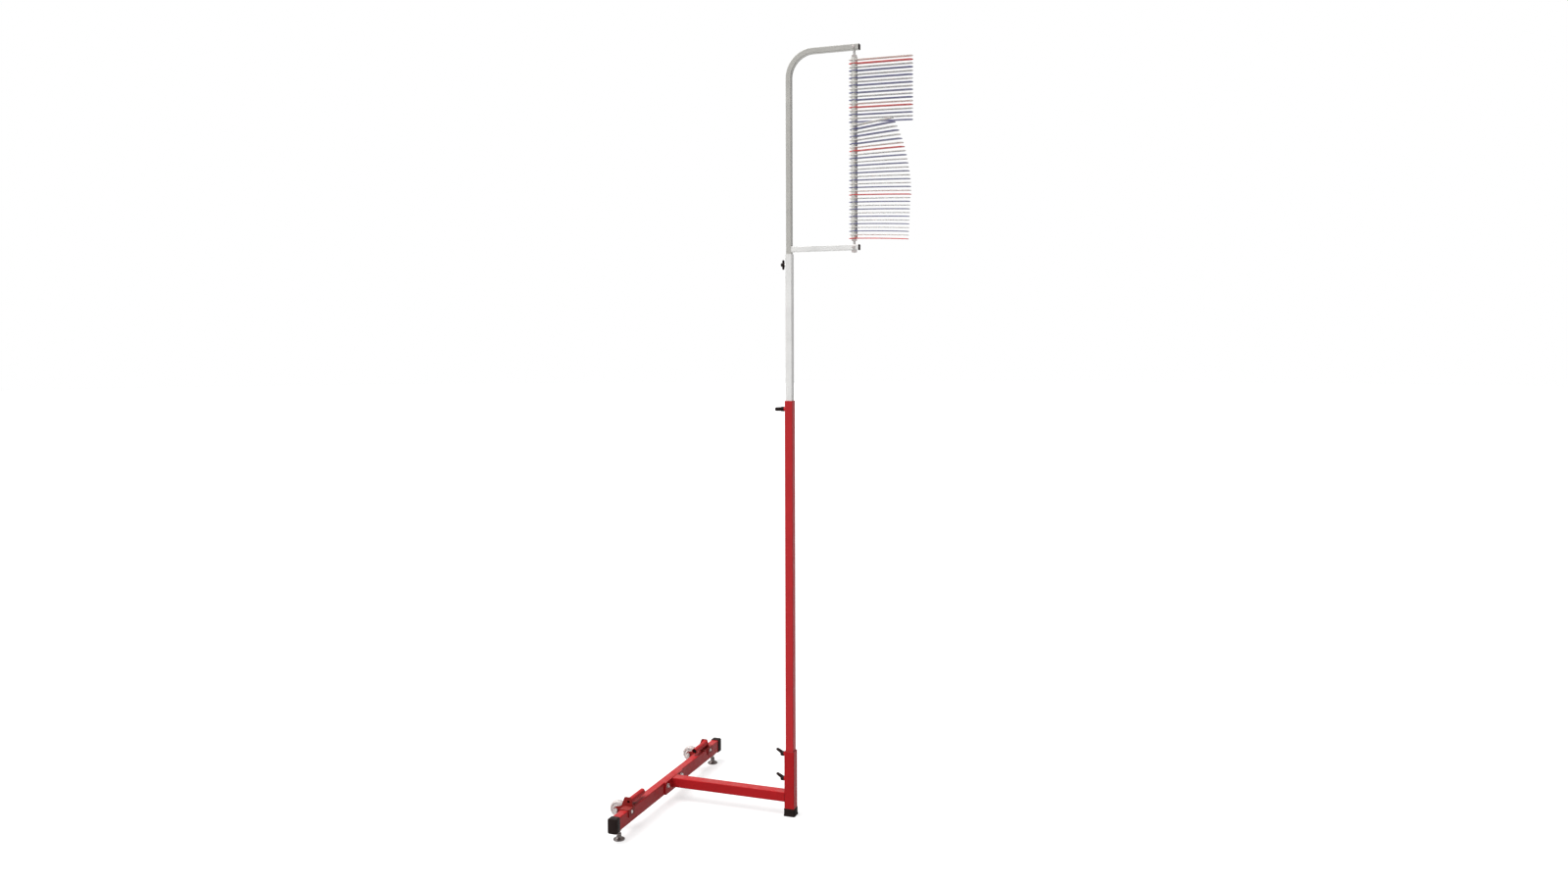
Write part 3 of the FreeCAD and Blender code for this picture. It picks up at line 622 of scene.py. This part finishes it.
# Painted shade: the base's red is a darker copy of the post's red paint, standing for the lower light
# on the base.
SHADED_RED_BASE = powder_coat("red base coat with painted shade", tone(0.41, 0.012, 0.015), 0.38, 0.08)
# Painted shade: the saddle, fork and stand plates take a still darker copy of the same red, standing
# for the shade seen on the brackets.
SHADED_RED_BRACKET = powder_coat("red bracket coat with painted shade", tone(0.25, 0.017, 0.015), 0.42, 0.08)
RED_POST = powder_coat("red post coat", tone(0.49, 0.026, 0.030), 0.38, 0.10,
                       scratched=0.45, stretch=(420.0, 420.0, 5.0))
SILVER_POST = powder_coat("silver post coat", tone(0.82, 0.815, 0.80), 0.34, 0.25,
                          worn=0.15, scratched=0.5, stretch=(420.0, 420.0, 4.0))
FRAME_GREY = powder_coat("silver frame coat", tone(0.49, 0.48, 0.45), 0.32, 0.3,
                         worn=0.15, scratched=0.35, stretch=(420.0, 420.0, 5.0))
ZINC = plated_metal("zinc plate", tone(0.46, 0.42, 0.41))
# Painted shade: the pads' steel is made far darker than the zinc of their stems, standing for the
# shade under the end caps.
SHADED_FOOT_STEEL = plated_metal("foot steel with painted shade", tone(0.13, 0.112, 0.108), 0.30, 1.0)
BRIGHT_STEEL = plated_metal("bright steel", tone(0.62, 0.61, 0.60), 0.28, 1.0, (900.0, 900.0, 60.0))
BEARING_STEEL = plated_metal("bearing steel", tone(0.42, 0.41, 0.40), 0.26, 1.0)
BLACK_PLASTIC = moulded("black plastic", tone(0.016, 0.0095, 0.0088), 0.5, 0.06,
                        scuffs=0.15, dust=0.05)
BLACK_RUBBER = moulded("black rubber", tone(0.018, 0.012, 0.011), 0.68, 0.05,
                       grain=420.0, depth=0.00016, scuffs=0.15, dust=0.05)
LINER = moulded("liner plastic", tone(0.045, 0.043, 0.042), 0.5, 0.3)
URETHANE = moulded("wheel urethane", tone(0.74, 0.69, 0.67), 0.42, 0.2, grain=240.0,
                   depth=0.00002, scuffs=0.1, dust=0.04, subsurface=0.4, clear=0.3)
SPACER = moulded("spacer plastic", tone(0.62, 0.61, 0.58), 0.4, 0.3,
                 grain=600.0, depth=0.00006, scuffs=0.15, dust=0.1)
VANE_WHITE = soft_plastic("white vane plastic", tone(0.74, 0.72, 0.67), 0.2, 0.4)
VANE_NAVY = soft_plastic("navy vane plastic", tone(0.13, 0.13, 0.29), 0.15, 0.2)
VANE_RED = soft_plastic("red vane plastic", tone(0.66, 0.045, 0.048), 0.15, 0.2)


def dress(finish, *nodes):
    """Give CAD nodes that keep their shape a finish."""
    for name in nodes:
        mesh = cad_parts[name].data
        if not mesh.materials:
            mesh.materials.append(finish)
        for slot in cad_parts[name].material_slots:
            slot.material = finish


# ---- base ----------------------------------------------------------------------------------
def hex_bolt(piece, size, place, grip, beyond):
    """Bolt along +Z: head below the work, washer, nut and thread end above it."""
    washer_high = 0.0016
    head = size * 0.64
    across = size * 1.7
    put(piece, washer(size * 1.05, size / 2, washer_high), place @ at(0, 0, -washer_high))
    put(piece, hexagon(across, head), place @ at(0, 0, -washer_high) @ DOWN)
    put(piece, shank(size / 2, grip), place)
    end = place @ at(0, 0, grip)
    put(piece, hexagon(across, size * 0.8, size / 2, both_ends=True), end)
    put(piece, threaded_end(size, size * 0.15, size * 0.8 + beyond), end)


def make_end_caps():
    """Moulded caps slipped over the ends of the cross tube."""
    middle = (CROSS_TOP + CROSS_BOTTOM) / 2
    wall = END_CAP_WALL
    layers = [(0, 0.0022), (0.0006, 0.001), (0.0022, 0), (0.0085, 0), (0.0092, 0.0006),
              (0.0099, 0), (0.0262, 0), (0.0274, 0.0006), (0.028, 0.0018), (0.028, wall), (wall, wall)]
    shape = bmesh.new()
    for side in SIDES.values():
        turn = AWAY_Y if side > 0 else TOWARD_Y
        cap = stacked(CROSS_WIDTH + 2 * wall, CROSS_HEIGHT + 2 * wall, 0.006, layers, 5)
        put(shape, cap, at(CROSS_X, side * (CROSS_END + wall), middle, turn))
    finished("cross_tube_end_caps", shape, "root", BLACK_PLASTIC, ["cross_tube_caps"])


def make_flange_fasteners():
    """Bolts through the flange plate and the cross tube."""
    level = (CROSS_TOP + CROSS_BOTTOM) / 2 + FLANGE_BOLT_RISE
    grip = FLANGE_FACE - (CROSS_X - CROSS_WIDTH / 2)
    shape = bmesh.new()
    for side in SIDES.values():
        hex_bolt(shape, 0.008, at(FLANGE_FACE, side * FLANGE_BOLT_Y, level, AWAY_X), grip, 0.002)
    finished("flange_bolts_and_nuts", shape, "root", ZINC, ["flange_bolts"])


def make_welds():
    """Weld beads round the spine at the flange plate and at the mast socket, and at the arm."""
    top = CROSS_TOP
    bottom = CROSS_TOP - SPINE_HEIGHT
    shape = bmesh.new()
    for x, inset in ((FLANGE_FACE + 0.0004, 0.0), (-SOCKET_SIDE / 2 - 0.0004, 0.0055)):
        y = SPINE_WIDTH / 2 - inset
        put(shape, weld_bead([(x, y, top), (x, -y, top), (x, -y, bottom), (x, y, bottom)], 0.0021))
    finished("spine_welds", shape, "root", SHADED_RED_BASE)
    half = FRAME_SIDE / 2
    shape = bmesh.new()
    x = half + 0.0002
    y = half - 0.0016
    top = LOWER_ARM_Z + half
    bottom = LOWER_ARM_Z - half + 0.0018
    loop = [(x, y, top), (x, -y, top), (x, -y, bottom), (x, y, bottom)]
    put(shape, weld_bead(loop, 0.0014, 0.0018))
    finished("arm_weld", shape, "mast_upper", FRAME_GREY)


def make_shoe():
    """Rubber shoe under the socket: flared foot, moulded grooves, cup round the tube."""
    side = SOCKET_SIDE + 0.0066
    layers = [(0, 0.0012), (0.0009, 0.0002), (0.0022, 0), (0.003, 0.0006), (0.0052, 0.0011),
              (0.0056, 0.0017), (0.0062, 0.0017), (0.0066, 0.0014), (0.008, 0.0017)]
    for groove in (0.0126, 0.0186):
        layers += [(groove, 0.0017), (groove + 0.0004, 0.0023), (groove + 0.0012, 0.0023),
                   (groove + 0.0016, 0.0017)]
    layers += [(0.027, 0.0017), (0.028, 0.0024), (0.028, 0.0033), (0.008, 0.0033)]
    shape = stacked(side, side, 0.005, layers, 5)
    finished("mast_shoe", shape, "root", BLACK_RUBBER, ["socket_foot"])


def make_levelling_feet():
    """Turned pads on threaded stems, with a jam nut under the cross tube."""
    profile = [(0, 0.0006), (0.014, 0.0006), (0.0144, 0), (0.0195, 0), (0.0205, 0.001),
               (0.0205, 0.0034), (0.0199, 0.0044), (0.0185, 0.005), (0.018, 0.0058), (0.015, 0.007),
               (0.0115, 0.009), (0.0095, 0.0108), (0.0086, 0.0126), (0.0085, 0.015),
               (0.008, 0.0162), (0.0074, 0.0166), (0, 0.0166)]
    core = [(0, 0.0235), (0.0041, 0.0235), (0.0041, 0.071), (0.0034, 0.072), (0, 0.072)]
    nuts = bmesh.new()
    for side, way in SIDES.items():
        foot = f"level_foot_{side}"
        place = at(CROSS_X, way * FOOT_Y, 0)
        pad = bmesh.new()
        put(pad, turned(profile, 56), place)
        put(pad, hexagon(0.015, 0.0074, both_ends=True), place @ at(0, 0, 0.0166))
        finished(f"foot_pad_{side}", pad, foot, SHADED_FOOT_STEEL, [foot])
        stem = bmesh.new()
        put(stem, turned(core, 24), place)
        put(stem, thread(M10_SIZE, M10_PITCH, 0.0475), place @ at(0, 0, 0.024))
        finished(f"foot_stem_{side}", stem, foot, ZINC, [foot])
        put(nuts, m10_nut(), place @ at(0, 0, CROSS_BOTTOM - M10_NUT_HEIGHT))
    finished("foot_jam_nuts", nuts, "root", ZINC, ["foot_nuts"])


# ---- transport wheels ----------------------------------------------------------------------
def make_bracket(side, way):
    """Folded saddle, fork plates and stand plate, cut from sheet and welded."""
    outer = WHEEL_Y + FORK_HALF_GAP
    inner = WHEEL_Y - FORK_HALF_GAP
    back = CROSS_X - CROSS_WIDTH / 2
    front = CROSS_X + CROSS_WIDTH / 2
    sheet = SADDLE_SHEET
    plate = FORK_PLATE
    top = CROSS_TOP + sheet
    start = inner - plate
    end = STAND_Y + plate + SADDLE_OVERHANG
    shape = bmesh.new()
    saddle = [(back - sheet, CROSS_TOP - 0.034), (back, CROSS_TOP - 0.034), (back, CROSS_TOP),
              (front, CROSS_TOP), (front, top), (back - sheet, top)]
    put(shape, sheet_plate(saddle, end - start, [(5, 0.0026)]), at(0, start, 0))
    leaf = [(front, CROSS_TOP - 0.025), (front + sheet, CROSS_TOP - 0.025), (front + sheet, top),
            (front, top)]
    leaf_width = 0.044
    leaf_start = STAND_Y + plate / 2 + SADDLE_BOLT_OUT - leaf_width / 2
    put(shape, sheet_plate(leaf, leaf_width, [(2, 0.0026)]), at(0, leaf_start, 0))
    arm = [(back - sheet, WHEEL_Z - FORK_END), (back - sheet, top), (WHEEL_X, WHEEL_Z + FORK_END),
           (WHEEL_X - FORK_END, WHEEL_Z + FORK_END), (WHEEL_X - FORK_END, WHEEL_Z - FORK_END)]
    nose = FORK_END - 0.0001
    for y in (start, outer):
        put(shape, sheet_plate(arm, plate, [(3, nose), (4, nose)]), at(0, y, 0))
    stand = [(back - sheet, CROSS_TOP - 0.017), (back - sheet, top), (front + sheet, top),
             (CROSS_X + 0.0075, CROSS_TOP + 0.0345), (CROSS_X - 0.0155, CROSS_TOP + 0.0345),
             (CROSS_X - 0.029, CROSS_TOP)]
    rounds = [(3, 0.002), (4, 0.002), (5, 0.003)]
    hole = (CROSS_X, CROSS_TOP + BAR_RISE, 0.005)
    put(shape, sheet_plate(stand, plate, rounds, hole), at(0, STAND_Y, 0))
    if way < 0:
        bmesh.ops.scale(shape, vec=(1, -1, 1), verts=shape.verts)
        bmesh.ops.recalc_face_normals(shape, faces=shape.faces)
    finished(f"wheel_fork_{side}", shape, "root", SHADED_RED_BRACKET, [f"wheel_bracket_{side}"],
             edge=0.0006)


def make_foot_bars():
    """Short tubes to press with the foot when the tester is tipped, closed by inset discs."""
    weld = [(0.011, 0), (0.0134, 0), (0.0126, 0.0014), (0.011, 0.0022)]
    disc = [(0, 0.0882), (0.0085, 0.0882), (0.0094, 0.089), (0.0094, 0.099), (0.0085, 0.0998),
            (0, 0.0998)]
    bars = bmesh.new()
    plugs = bmesh.new()
    for way in SIDES.values():
        turn = AWAY_Y if way > 0 else TOWARD_Y
        place = at(CROSS_X, way * STAND_Y, CROSS_TOP + BAR_RISE, turn)
        put(bars, tube_sleeve(0.011, 0.0095, 0, 0.106), place)
        put(bars, turned(weld, 40, closed=True), place)
        put(plugs, turned(disc, 36), place)
    finished("foot_bar_tubes", bars, "root", SHADED_RED_BASE, ["foot_bars"])
    finished("foot_bar_discs", plugs, "root", BLACK_PLASTIC, ["foot_bar_plugs"])


def make_bracket_bolts():
    """Round-headed bolts through saddle and cross tube."""
    shape = bmesh.new()
    front = CROSS_X + CROSS_WIDTH / 2 + SADDLE_SHEET
    depth = CROSS_WIDTH + 2 * SADDLE_SHEET
    y = STAND_Y + FORK_PLATE / 2 + SADDLE_BOLT_OUT
    z = CROSS_TOP - 0.0105
    dome = [(0, 0), (0.006, 0), (0.00595, 0.0006), (0.0055, 0.0014), (0.0046, 0.0022),
            (0.0033, 0.0028), (0.0016, 0.0031), (0, 0.0032)]
    for way in SIDES.values():
        put(shape, turned(dome, 32), at(front, way * y, z, TOWARD_X))
        away = at(front, way * y, z, AWAY_X)
        put(shape, shank(0.003, depth), away)
        put(shape, hexagon(0.0102, 0.0048, 0.003, both_ends=True), away @ at(0, 0, depth))
        put(shape, threaded_end(0.006, 0.001, 0.0068), away @ at(0, 0, depth))
    finished("saddle_bolts", shape, "root", ZINC, ["bracket_bolts"])


def make_axles():
    """Axle bolts with nuts, and the sleeves beside the bearings."""
    bolts = bmesh.new()
    sleeves = bmesh.new()
    grip = 2 * (FORK_HALF_GAP + FORK_PLATE)
    near = WHEEL_HALF + TURN_GAP
    for way in SIDES.values():
        turn = AWAY_Y if way > 0 else TOWARD_Y
        place = at(WHEEL_X, way * (WHEEL_Y + grip / 2), WHEEL_Z, turn)
        put(bolts, hexagon(0.0136, 0.00512), place @ DOWN)
        put(bolts, shank(0.004, grip), place)
        put(bolts, hexagon(0.0136, 0.0064, 0.004, both_ends=True), place @ at(0, 0, grip))
        put(bolts, threaded_end(0.008, 0.00125, 0.0084), place @ at(0, 0, grip))
        for hand in (1, -1):
            outwards = TOWARD_Y if way * hand > 0 else AWAY_Y
            sleeve = tube_sleeve(0.006, 0.00405, 0, FORK_HALF_GAP - near, 0.0004)
            put(sleeves, sleeve, at(WHEEL_X, way * (WHEEL_Y + hand * near), WHEEL_Z, outwards))
    finished("axle_bolts", bolts, "root", ZINC, ["wheel_axles"])
    finished("axle_sleeves", sleeves, "root", ZINC, ["axle_spacers"])


def make_wheel(side, way):
    """Urethane wheel: crowned tread, rounded shoulders, dished sides, bearing pockets."""
    half = WHEEL_HALF
    bearing = 0.007
    wheel = f"wheel_{side}"
    one_side = [(0.011, half - bearing), (0.011, half - 0.0004), (0.0116, half), (0.014, half),
                (0.0147, half - 0.0006), (0.0154, half - 0.0016), (0.0198, half - 0.0016),
                (0.0207, half - 0.0008), (0.0215, half), (0.0228, half), (0.0254, half - 0.0004),
                (0.0276, half - 0.0018), (0.0292, half - 0.0042), (0.0299, half - 0.0072),
                (0.03, half - 0.0094)]
    profile = [(0.009, half - bearing)] + one_side
    profile += [(radius, -height) for radius, height in reversed(one_side)]
    profile += [(0.009, -half + bearing)]
    shape = bmesh.new()
    put(shape, turned(profile, 72, closed=True), at(WHEEL_X, way * WHEEL_Y, WHEEL_Z, TOWARD_Y))
    finished(f"wheel_tyre_{side}", shape, wheel, URETHANE, [wheel])
    shape = bmesh.new()
    face = [(0.00405, 0), (0.006, 0), (0.0062, 0.0002), (0.0062, 0.0006), (0.009, 0.0006),
            (0.009, 0.0002), (0.0092, 0), (0.0108, 0), (0.011, 0.0002)]
    race = face + [(radius, bearing - height) for radius, height in reversed(face)]
    for low in (half - bearing, -half):
        place = at(WHEEL_X, way * WHEEL_Y + low, WHEEL_Z, TOWARD_Y)
        put(shape, turned(race, 48, closed=True), place)
    finished(f"wheel_race_{side}", shape, wheel, BEARING_STEEL, [f"wheel_bearings_{side}"])


# ---- vane frame ----------------------------------------------------------------------------
def vane_z(number):
    """Middle height of a vane, counted from 1 at the top."""
    return LOWEST_VANE_Z + VANE_PITCH * (VANE_COUNT - number)


def make_arm_caps():
    """Moulded plugs in the ends of the two arms."""
    layers = [(-0.004, 0.0016), (-0.0001, 0.0016), (0, 0), (0.0018, 0), (0.0024, 0.0004),
              (0.0028, 0.0011), (0.003, 0.0022)]
    shape = bmesh.new()
    for z in (LOWER_ARM_Z, UPPER_ARM_Z):
        cap = stacked(FRAME_SIDE, FRAME_SIDE, 0.0025, layers)
        put(shape, cap, at(ROD_X + ARM_BEYOND_ROD, 0, z, TOWARD_X))
    finished("arm_end_caps", shape, "mast_upper", BLACK_PLASTIC, ["arm_caps"])


def make_rod():
    """Rod that carries the vanes, threaded where it shows at both ends."""
    half = FRAME_SIDE / 2
    bottom = LOWER_ARM_Z - half - 0.0097
    top = UPPER_ARM_Z + half - 0.0018
    core = 0.00415
    full = M10_SIZE / 2
    profile = [(0, bottom), (core - 0.0008, bottom), (core, bottom + 0.001),
               (core, STACK_BOTTOM - 0.006), (full, STACK_BOTTOM - 0.005), (full, STACK_TOP),
               (core, STACK_TOP + 0.001), (core, top), (0, top)]
    shape = bmesh.new()
    put(shape, turned(profile, 32), at(ROD_X, 0, 0))
    over_arm = LOWER_ARM_Z + half - 0.002
    under_arm = UPPER_ARM_Z - half + 0.002
    for low, length in ((bottom + 0.0004, 0.0102), (over_arm, STACK_BOTTOM - 0.004 - over_arm),
                        (STACK_TOP, under_arm - STACK_TOP)):
        put(shape, thread(M10_SIZE, M10_PITCH, length), at(ROD_X, 0, low))
    finished("threaded_vane_rod", shape, "mast_upper", BRIGHT_STEEL, ["vane_rod"])


def make_rod_nuts():
    """Nuts that hold the rod and the stack, and the cross bolts in the arms."""
    half = FRAME_SIDE / 2
    height = M10_NUT_HEIGHT
    shape = bmesh.new()
    for bottom in (LOWER_ARM_Z - half - height, STACK_BOTTOM - height, STACK_TOP):
        put(shape, m10_nut(), at(ROD_X, 0, bottom))
    for z in (LOWER_ARM_Z, UPPER_ARM_Z):
        hex_bolt(shape, 0.005, at(ROD_X, -half, z, TOWARD_Y), FRAME_SIDE, 0.001)
    finished("rod_nuts_and_cross_bolts", shape, "mast_upper", ZINC, ["rod_fasteners"])


def make_spacers():
    """Sleeves between the vanes, moulded with a waist."""
    shape = bmesh.new()
    for number in range(1, VANE_COUNT + 1):
        bottom = vane_z(number) + VANE_THICKNESS / 2 + SPACER_GAP
        top = vane_z(number - 1) - VANE_THICKNESS / 2 - SPACER_GAP
        if number == 1:
            top = bottom + TOP_SPACER
        profile = [(M10_BORE, bottom), (0.011, bottom), (0.0115, bottom + 0.0005),
                   (0.0115, bottom + 0.0014), (0.0112, bottom + 0.0018), (0.0112, top - 0.0018),
                   (0.0115, top - 0.0014), (0.0115, top - 0.0005), (0.011, top), (M10_BORE, top)]
        put(shape, turned(profile, 24, closed=True), at(ROD_X, 0, 0))
    finished("vane_spacing_sleeves", shape, "mast_upper", SPACER, ["vane_spacers"])


def vane_angle(number):
    """How far a vane is turned from +X towards +Y, in degrees."""
    if number <= 18:
        return 0.0
    if number <= 38:
        return -(5.0 + 31.0 * ((38 - number) / 19) ** 1.6)
    return -(8.0 + 4.0 * (number - 39) / 11)


def vane_droop(number):
    """How far a vane's tip hangs below its hub."""
    return 0.0015 + 0.011 * (number / VANE_COUNT) ** 1.3


def make_vane(number):
    """Flat strip with round ends and a bore, sagging a little towards its tip."""
    half = VANE_WIDTH / 2
    shape = bmesh.new()
    ends = ((-VANE_STUB, -half), (VANE_REACH, -half), (VANE_REACH, half), (-VANE_STUB, half))
    verts = [shape.verts.new((x, y, 0)) for x, y in ends]
    shape.faces.new(verts)
    bmesh.ops.bevel(shape, geom=shape.verts[:], offset=half - 0.0001, segments=7, profile=0.5,
                    affect="VERTICES", material=-1)
    bmesh.ops.delete(shape, geom=shape.faces[:], context="FACES_ONLY")
    bmesh.ops.create_circle(shape, segments=20, radius=M10_BORE)
    bmesh.ops.triangle_fill(shape, edges=shape.edges[:], use_beauty=True, normal=(0, 0, 1))
    flat_end = 0.014
    for x in (flat_end, 0.03, 0.06, 0.09, 0.12, 0.15, 0.18):
        bmesh.ops.bisect_plane(shape, geom=shape.verts[:] + shape.edges[:] + shape.faces[:],
                               plane_co=(x, 0, 0), plane_no=(1, 0, 0))
    drop = vane_droop(number)
    reach = VANE_REACH - flat_end
    for vert in shape.verts:
        along = max(0.0, (vert.co.x - flat_end) / reach)
        vert.co.z = -VANE_THICKNESS / 2 - drop * (0.7 * along + 0.3 * along * along)
    thickened(shape, (0, 0, VANE_THICKNESS))
    turn = Matrix.Rotation(math.radians(vane_angle(number)), 4, "Z")
    bmesh.ops.transform(shape, matrix=at(ROD_X, 0, vane_z(number), turn), verts=shape.verts)
    finish = VANE_WHITE
    if number % 2 == 0:
        finish = VANE_RED if (number - 2) % 12 == 0 else VANE_NAVY
    first = number - 1 + number % 2
    pair = f"{first:02d}_{first + 1:02d}"
    finished(f"vane_{number:02d}", shape, f"vane_pair_{pair}", finish, [f"vanes_{pair}"],
             edge=0.0005)


# ---- levers and knob -----------------------------------------------------------------------
def make_lever(name, tube_side, inner_side, z, turn):
    """One-armed clamping lever on the -X face: hub, slanted grip and screw."""
    seat = tube_side / 2 + LEVER_BOSS + TURN_GAP
    place = at(0, 0, z, Matrix.Rotation(math.radians(turn), 4, "X"))
    grip = bmesh.new()
    hub = [(0, 0), (0.0082, 0), (0.009, 0.001), (0.009, 0.004), (0.0086, 0.0112),
           (0.0078, 0.0124), (0.006, 0.013), (0.0042, 0.013), (0.004, 0.0122), (0, 0.0122)]
    put(grip, turned(hub, 40), at(-seat, 0, 0, AWAY_X))
    course = [((0.002, 0.0004), (0.9, 0.44), 0.0062, 0.0066),
              ((0.006, 0.0028), (0.86, 0.5), 0.0068, 0.0066),
              ((0.011, 0.0058), (0.86, 0.5), 0.007, 0.0062),
              ((0.0165, 0.009), (0.87, 0.48), 0.007, 0.0058),
              ((0.022, 0.012), (0.87, 0.48), 0.0069, 0.0054),
              ((0.0262, 0.0142), (0.88, 0.46), 0.0065, 0.0048),
              ((0.0287, 0.0155), (0.89, 0.44), 0.0054, 0.0037),
              ((0.0298, 0.0161), (0.89, 0.44), 0.0036, 0.0021)]
    places = [ring_place((-seat - out, 0, up), (-run_out, 0, run_up), width, thickness)
              for (out, up), (run_out, run_up), width, thickness in course]
    put(grip, lofted(places, 20))
    bmesh.ops.transform(grip, matrix=place, verts=grip.verts)
    finished(f"{name}_grip", grip, name, BLACK_PLASTIC, [name], corner=40)
    screw = bmesh.new()
    tip = inner_side / 2 + 0.0001
    length = seat - tip
    profile = [(0, 0), (0.003, 0), (0.0038, 0.0008), (0.004, 0.0012), (0.004, length), (0, length)]
    put(screw, turned(profile, 24), at(-tip, 0, 0, AWAY_X))
    bmesh.ops.transform(screw, matrix=place, verts=screw.verts)
    finished(f"{name}_screw", screw, name, ZINC, [name])


def make_knob():
    """Wing knob that clamps the frame in the middle post."""
    low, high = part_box("frame_knob")
    z = (low.z + high.z) / 2
    seat = MIDDLE_SIDE / 2 + KNOB_BOSS + TURN_GAP
    grip = bmesh.new()
    hub = [(0, 0), (0.0068, 0), (0.0075, 0.0008), (0.0075, 0.003), (0.007, 0.012),
           (0.0062, 0.0142), (0.0046, 0.015), (0.003, 0.015), (0.0028, 0.0144), (0, 0.0144)]
    put(grip, turned(hub, 36), at(-seat, 0, z, AWAY_X))
    wing = [(0.004, 0.0046, 0.0044), (0.0085, 0.004, 0.004), (0.013, 0.0047, 0.0043),
            (0.016, 0.004, 0.0036), (0.0172, 0.0026, 0.0022)]
    course = [(-rise, width, thickness) for rise, width, thickness in reversed(wing)] + wing
    places = [ring_place((-seat - 0.0065, 0, z + rise), (0, 0, 1), width, thickness)
              for rise, width, thickness in course]
    put(grip, lofted(places, 20))
    finished("frame_knob_grip", grip, "frame_knob", BLACK_PLASTIC, ["frame_knob"],
             corner=40)
    screw = bmesh.new()
    tip = FRAME_SIDE / 2 + 0.0001
    length = seat - tip
    profile = [(0, 0), (0.0024, 0), (0.003, 0.0008), (0.003, length), (0, length)]
    put(screw, turned(profile, 24), at(-tip, 0, z, AWAY_X))
    finished("frame_knob_screw", screw, "frame_knob", ZINC, ["frame_knob"])


# ---- the tester ----------------------------------------------------------------------------
dress(SHADED_RED_BASE, "cross_tube", "spine_tube", "flange_plate", "mast_socket")
dress(LINER, "socket_liner")
dress(RED_POST, "lower_post")
dress(SILVER_POST, "middle_post", "lower_arm")
dress(FRAME_GREY, "upper_frame")

make_end_caps()
make_flange_fasteners()
make_welds()
make_shoe()
make_levelling_feet()
for side, way in SIDES.items():
    make_bracket(side, way)
    make_wheel(side, way)
make_foot_bars()
make_bracket_bolts()
make_axles()
make_arm_caps()
make_rod()
make_rod_nuts()
make_spacers()
for number in range(1, VANE_COUNT + 1):
    make_vane(number)
make_lever("socket_lever_lower", SOCKET_SIDE, POST_SIDE, LOWER_LEVER_Z, 0)
make_lever("socket_lever_upper", SOCKET_SIDE, POST_SIDE, UPPER_LEVER_Z, 0)
make_lever("post_lever", POST_SIDE, MIDDLE_SIDE, POST_LEVER_Z, 90)
make_knob()


# ---- floor, light and camera -----------------------------------------------------------------
def shown_white(tree):
    """1 for what the camera sees directly, in a gloss or through a clear part."""
    path = tree.nodes.new("ShaderNodeLightPath")
    seen = maths(tree, "MAXIMUM", path.outputs["Is Camera Ray"], path.outputs["Is Glossy Ray"])
    return maths(tree, "MAXIMUM", seen, path.outputs["Is Transmission Ray"])


def make_floor():
    """Wide pale floor that looks white but keeps the tester's shadow."""
    shape = bmesh.new()
    bmesh.ops.create_circle(shape, cap_ends=True, segments=64, radius=60.0)
    mesh = bpy.data.meshes.new("studio_floor")
    shape.to_mesh(mesh)
    shape.free()
    made, tree, shader = finish_base("pale floor", 0.9, 0.0, 0.0)
    shader.inputs["Base Color"].default_value = tone(0.45, 0.45, 0.45)
    shader.inputs["Emission Color"].default_value = tone(1, 1, 1)
    lift = maths(tree, "MULTIPLY", shown_white(tree), 0.62)
    wire(tree, lift, shader.inputs["Emission Strength"])
    mesh.materials.append(made)
    floor = bpy.data.objects.new("studio_floor", mesh)
    bpy.context.scene.collection.objects.link(floor)


def make_world():
    """White surroundings that give more light from -X than from +X."""
    world = bpy.data.worlds.new("studio")
    world.use_nodes = True
    tree = world.node_tree
    plain = tree.nodes["Background"]
    plain.inputs["Color"].default_value = tone(1, 1, 1)
    where = tree.nodes.new("ShaderNodeTexCoord")
    split = tree.nodes.new("ShaderNodeSeparateXYZ")
    wire(tree, where.outputs["Generated"], split.inputs[0])
    wire(tree, spread(tree, split.outputs["X"], -1.0, 1.0, 0.54, 0.14), plain.inputs["Strength"])
    white = tree.nodes.new("ShaderNodeBackground")
    white.inputs["Color"].default_value = tone(1, 1, 1)
    white.inputs["Strength"].default_value = 1.0
    chosen = tree.nodes.new("ShaderNodeMixShader")
    wire(tree, shown_white(tree), chosen.inputs["Fac"])
    wire(tree, plain.outputs[0], chosen.inputs[1])
    wire(tree, white.outputs[0], chosen.inputs[2])
    wire(tree, chosen.outputs[0], tree.nodes["World Output"].inputs["Surface"])
    bpy.context.scene.world = world


def make_lamp(name, toward, strength, softness):
    """Distant soft lamp; toward points from the object to the lamp."""
    data = bpy.data.lights.new(name, "SUN")
    data.energy = strength
    data.angle = math.radians(softness)
    lamp = bpy.data.objects.new(name, data)
    lamp.rotation_euler = Vector(toward).to_track_quat("Z", "Y").to_euler()
    bpy.context.scene.collection.objects.link(lamp)


def make_camera():
    data = bpy.data.cameras.new("camera")
    data.sensor_width = 36.0
    data.lens = 27.351
    data.shift_y = -0.0253
    data.clip_end = 200.0
    camera = bpy.data.objects.new("camera", data)
    turn = (Matrix.Rotation(math.radians(19.99), 4, "Z") @ Matrix.Rotation(math.radians(87.58), 4, "X")
            @ Matrix.Rotation(math.radians(-0.16), 4, "Z"))
    camera.matrix_world = Matrix.Translation((1.4522, -4.0535, 1.6993)) @ turn
    bpy.context.scene.collection.objects.link(camera)
    bpy.context.scene.camera = camera


make_floor()
make_world()
make_lamp("overhead lamp", (-0.34, -0.29, 0.89), 4.1, 60.0)
make_camera()
bpy.context.scene.view_settings.view_transform = "Standard"
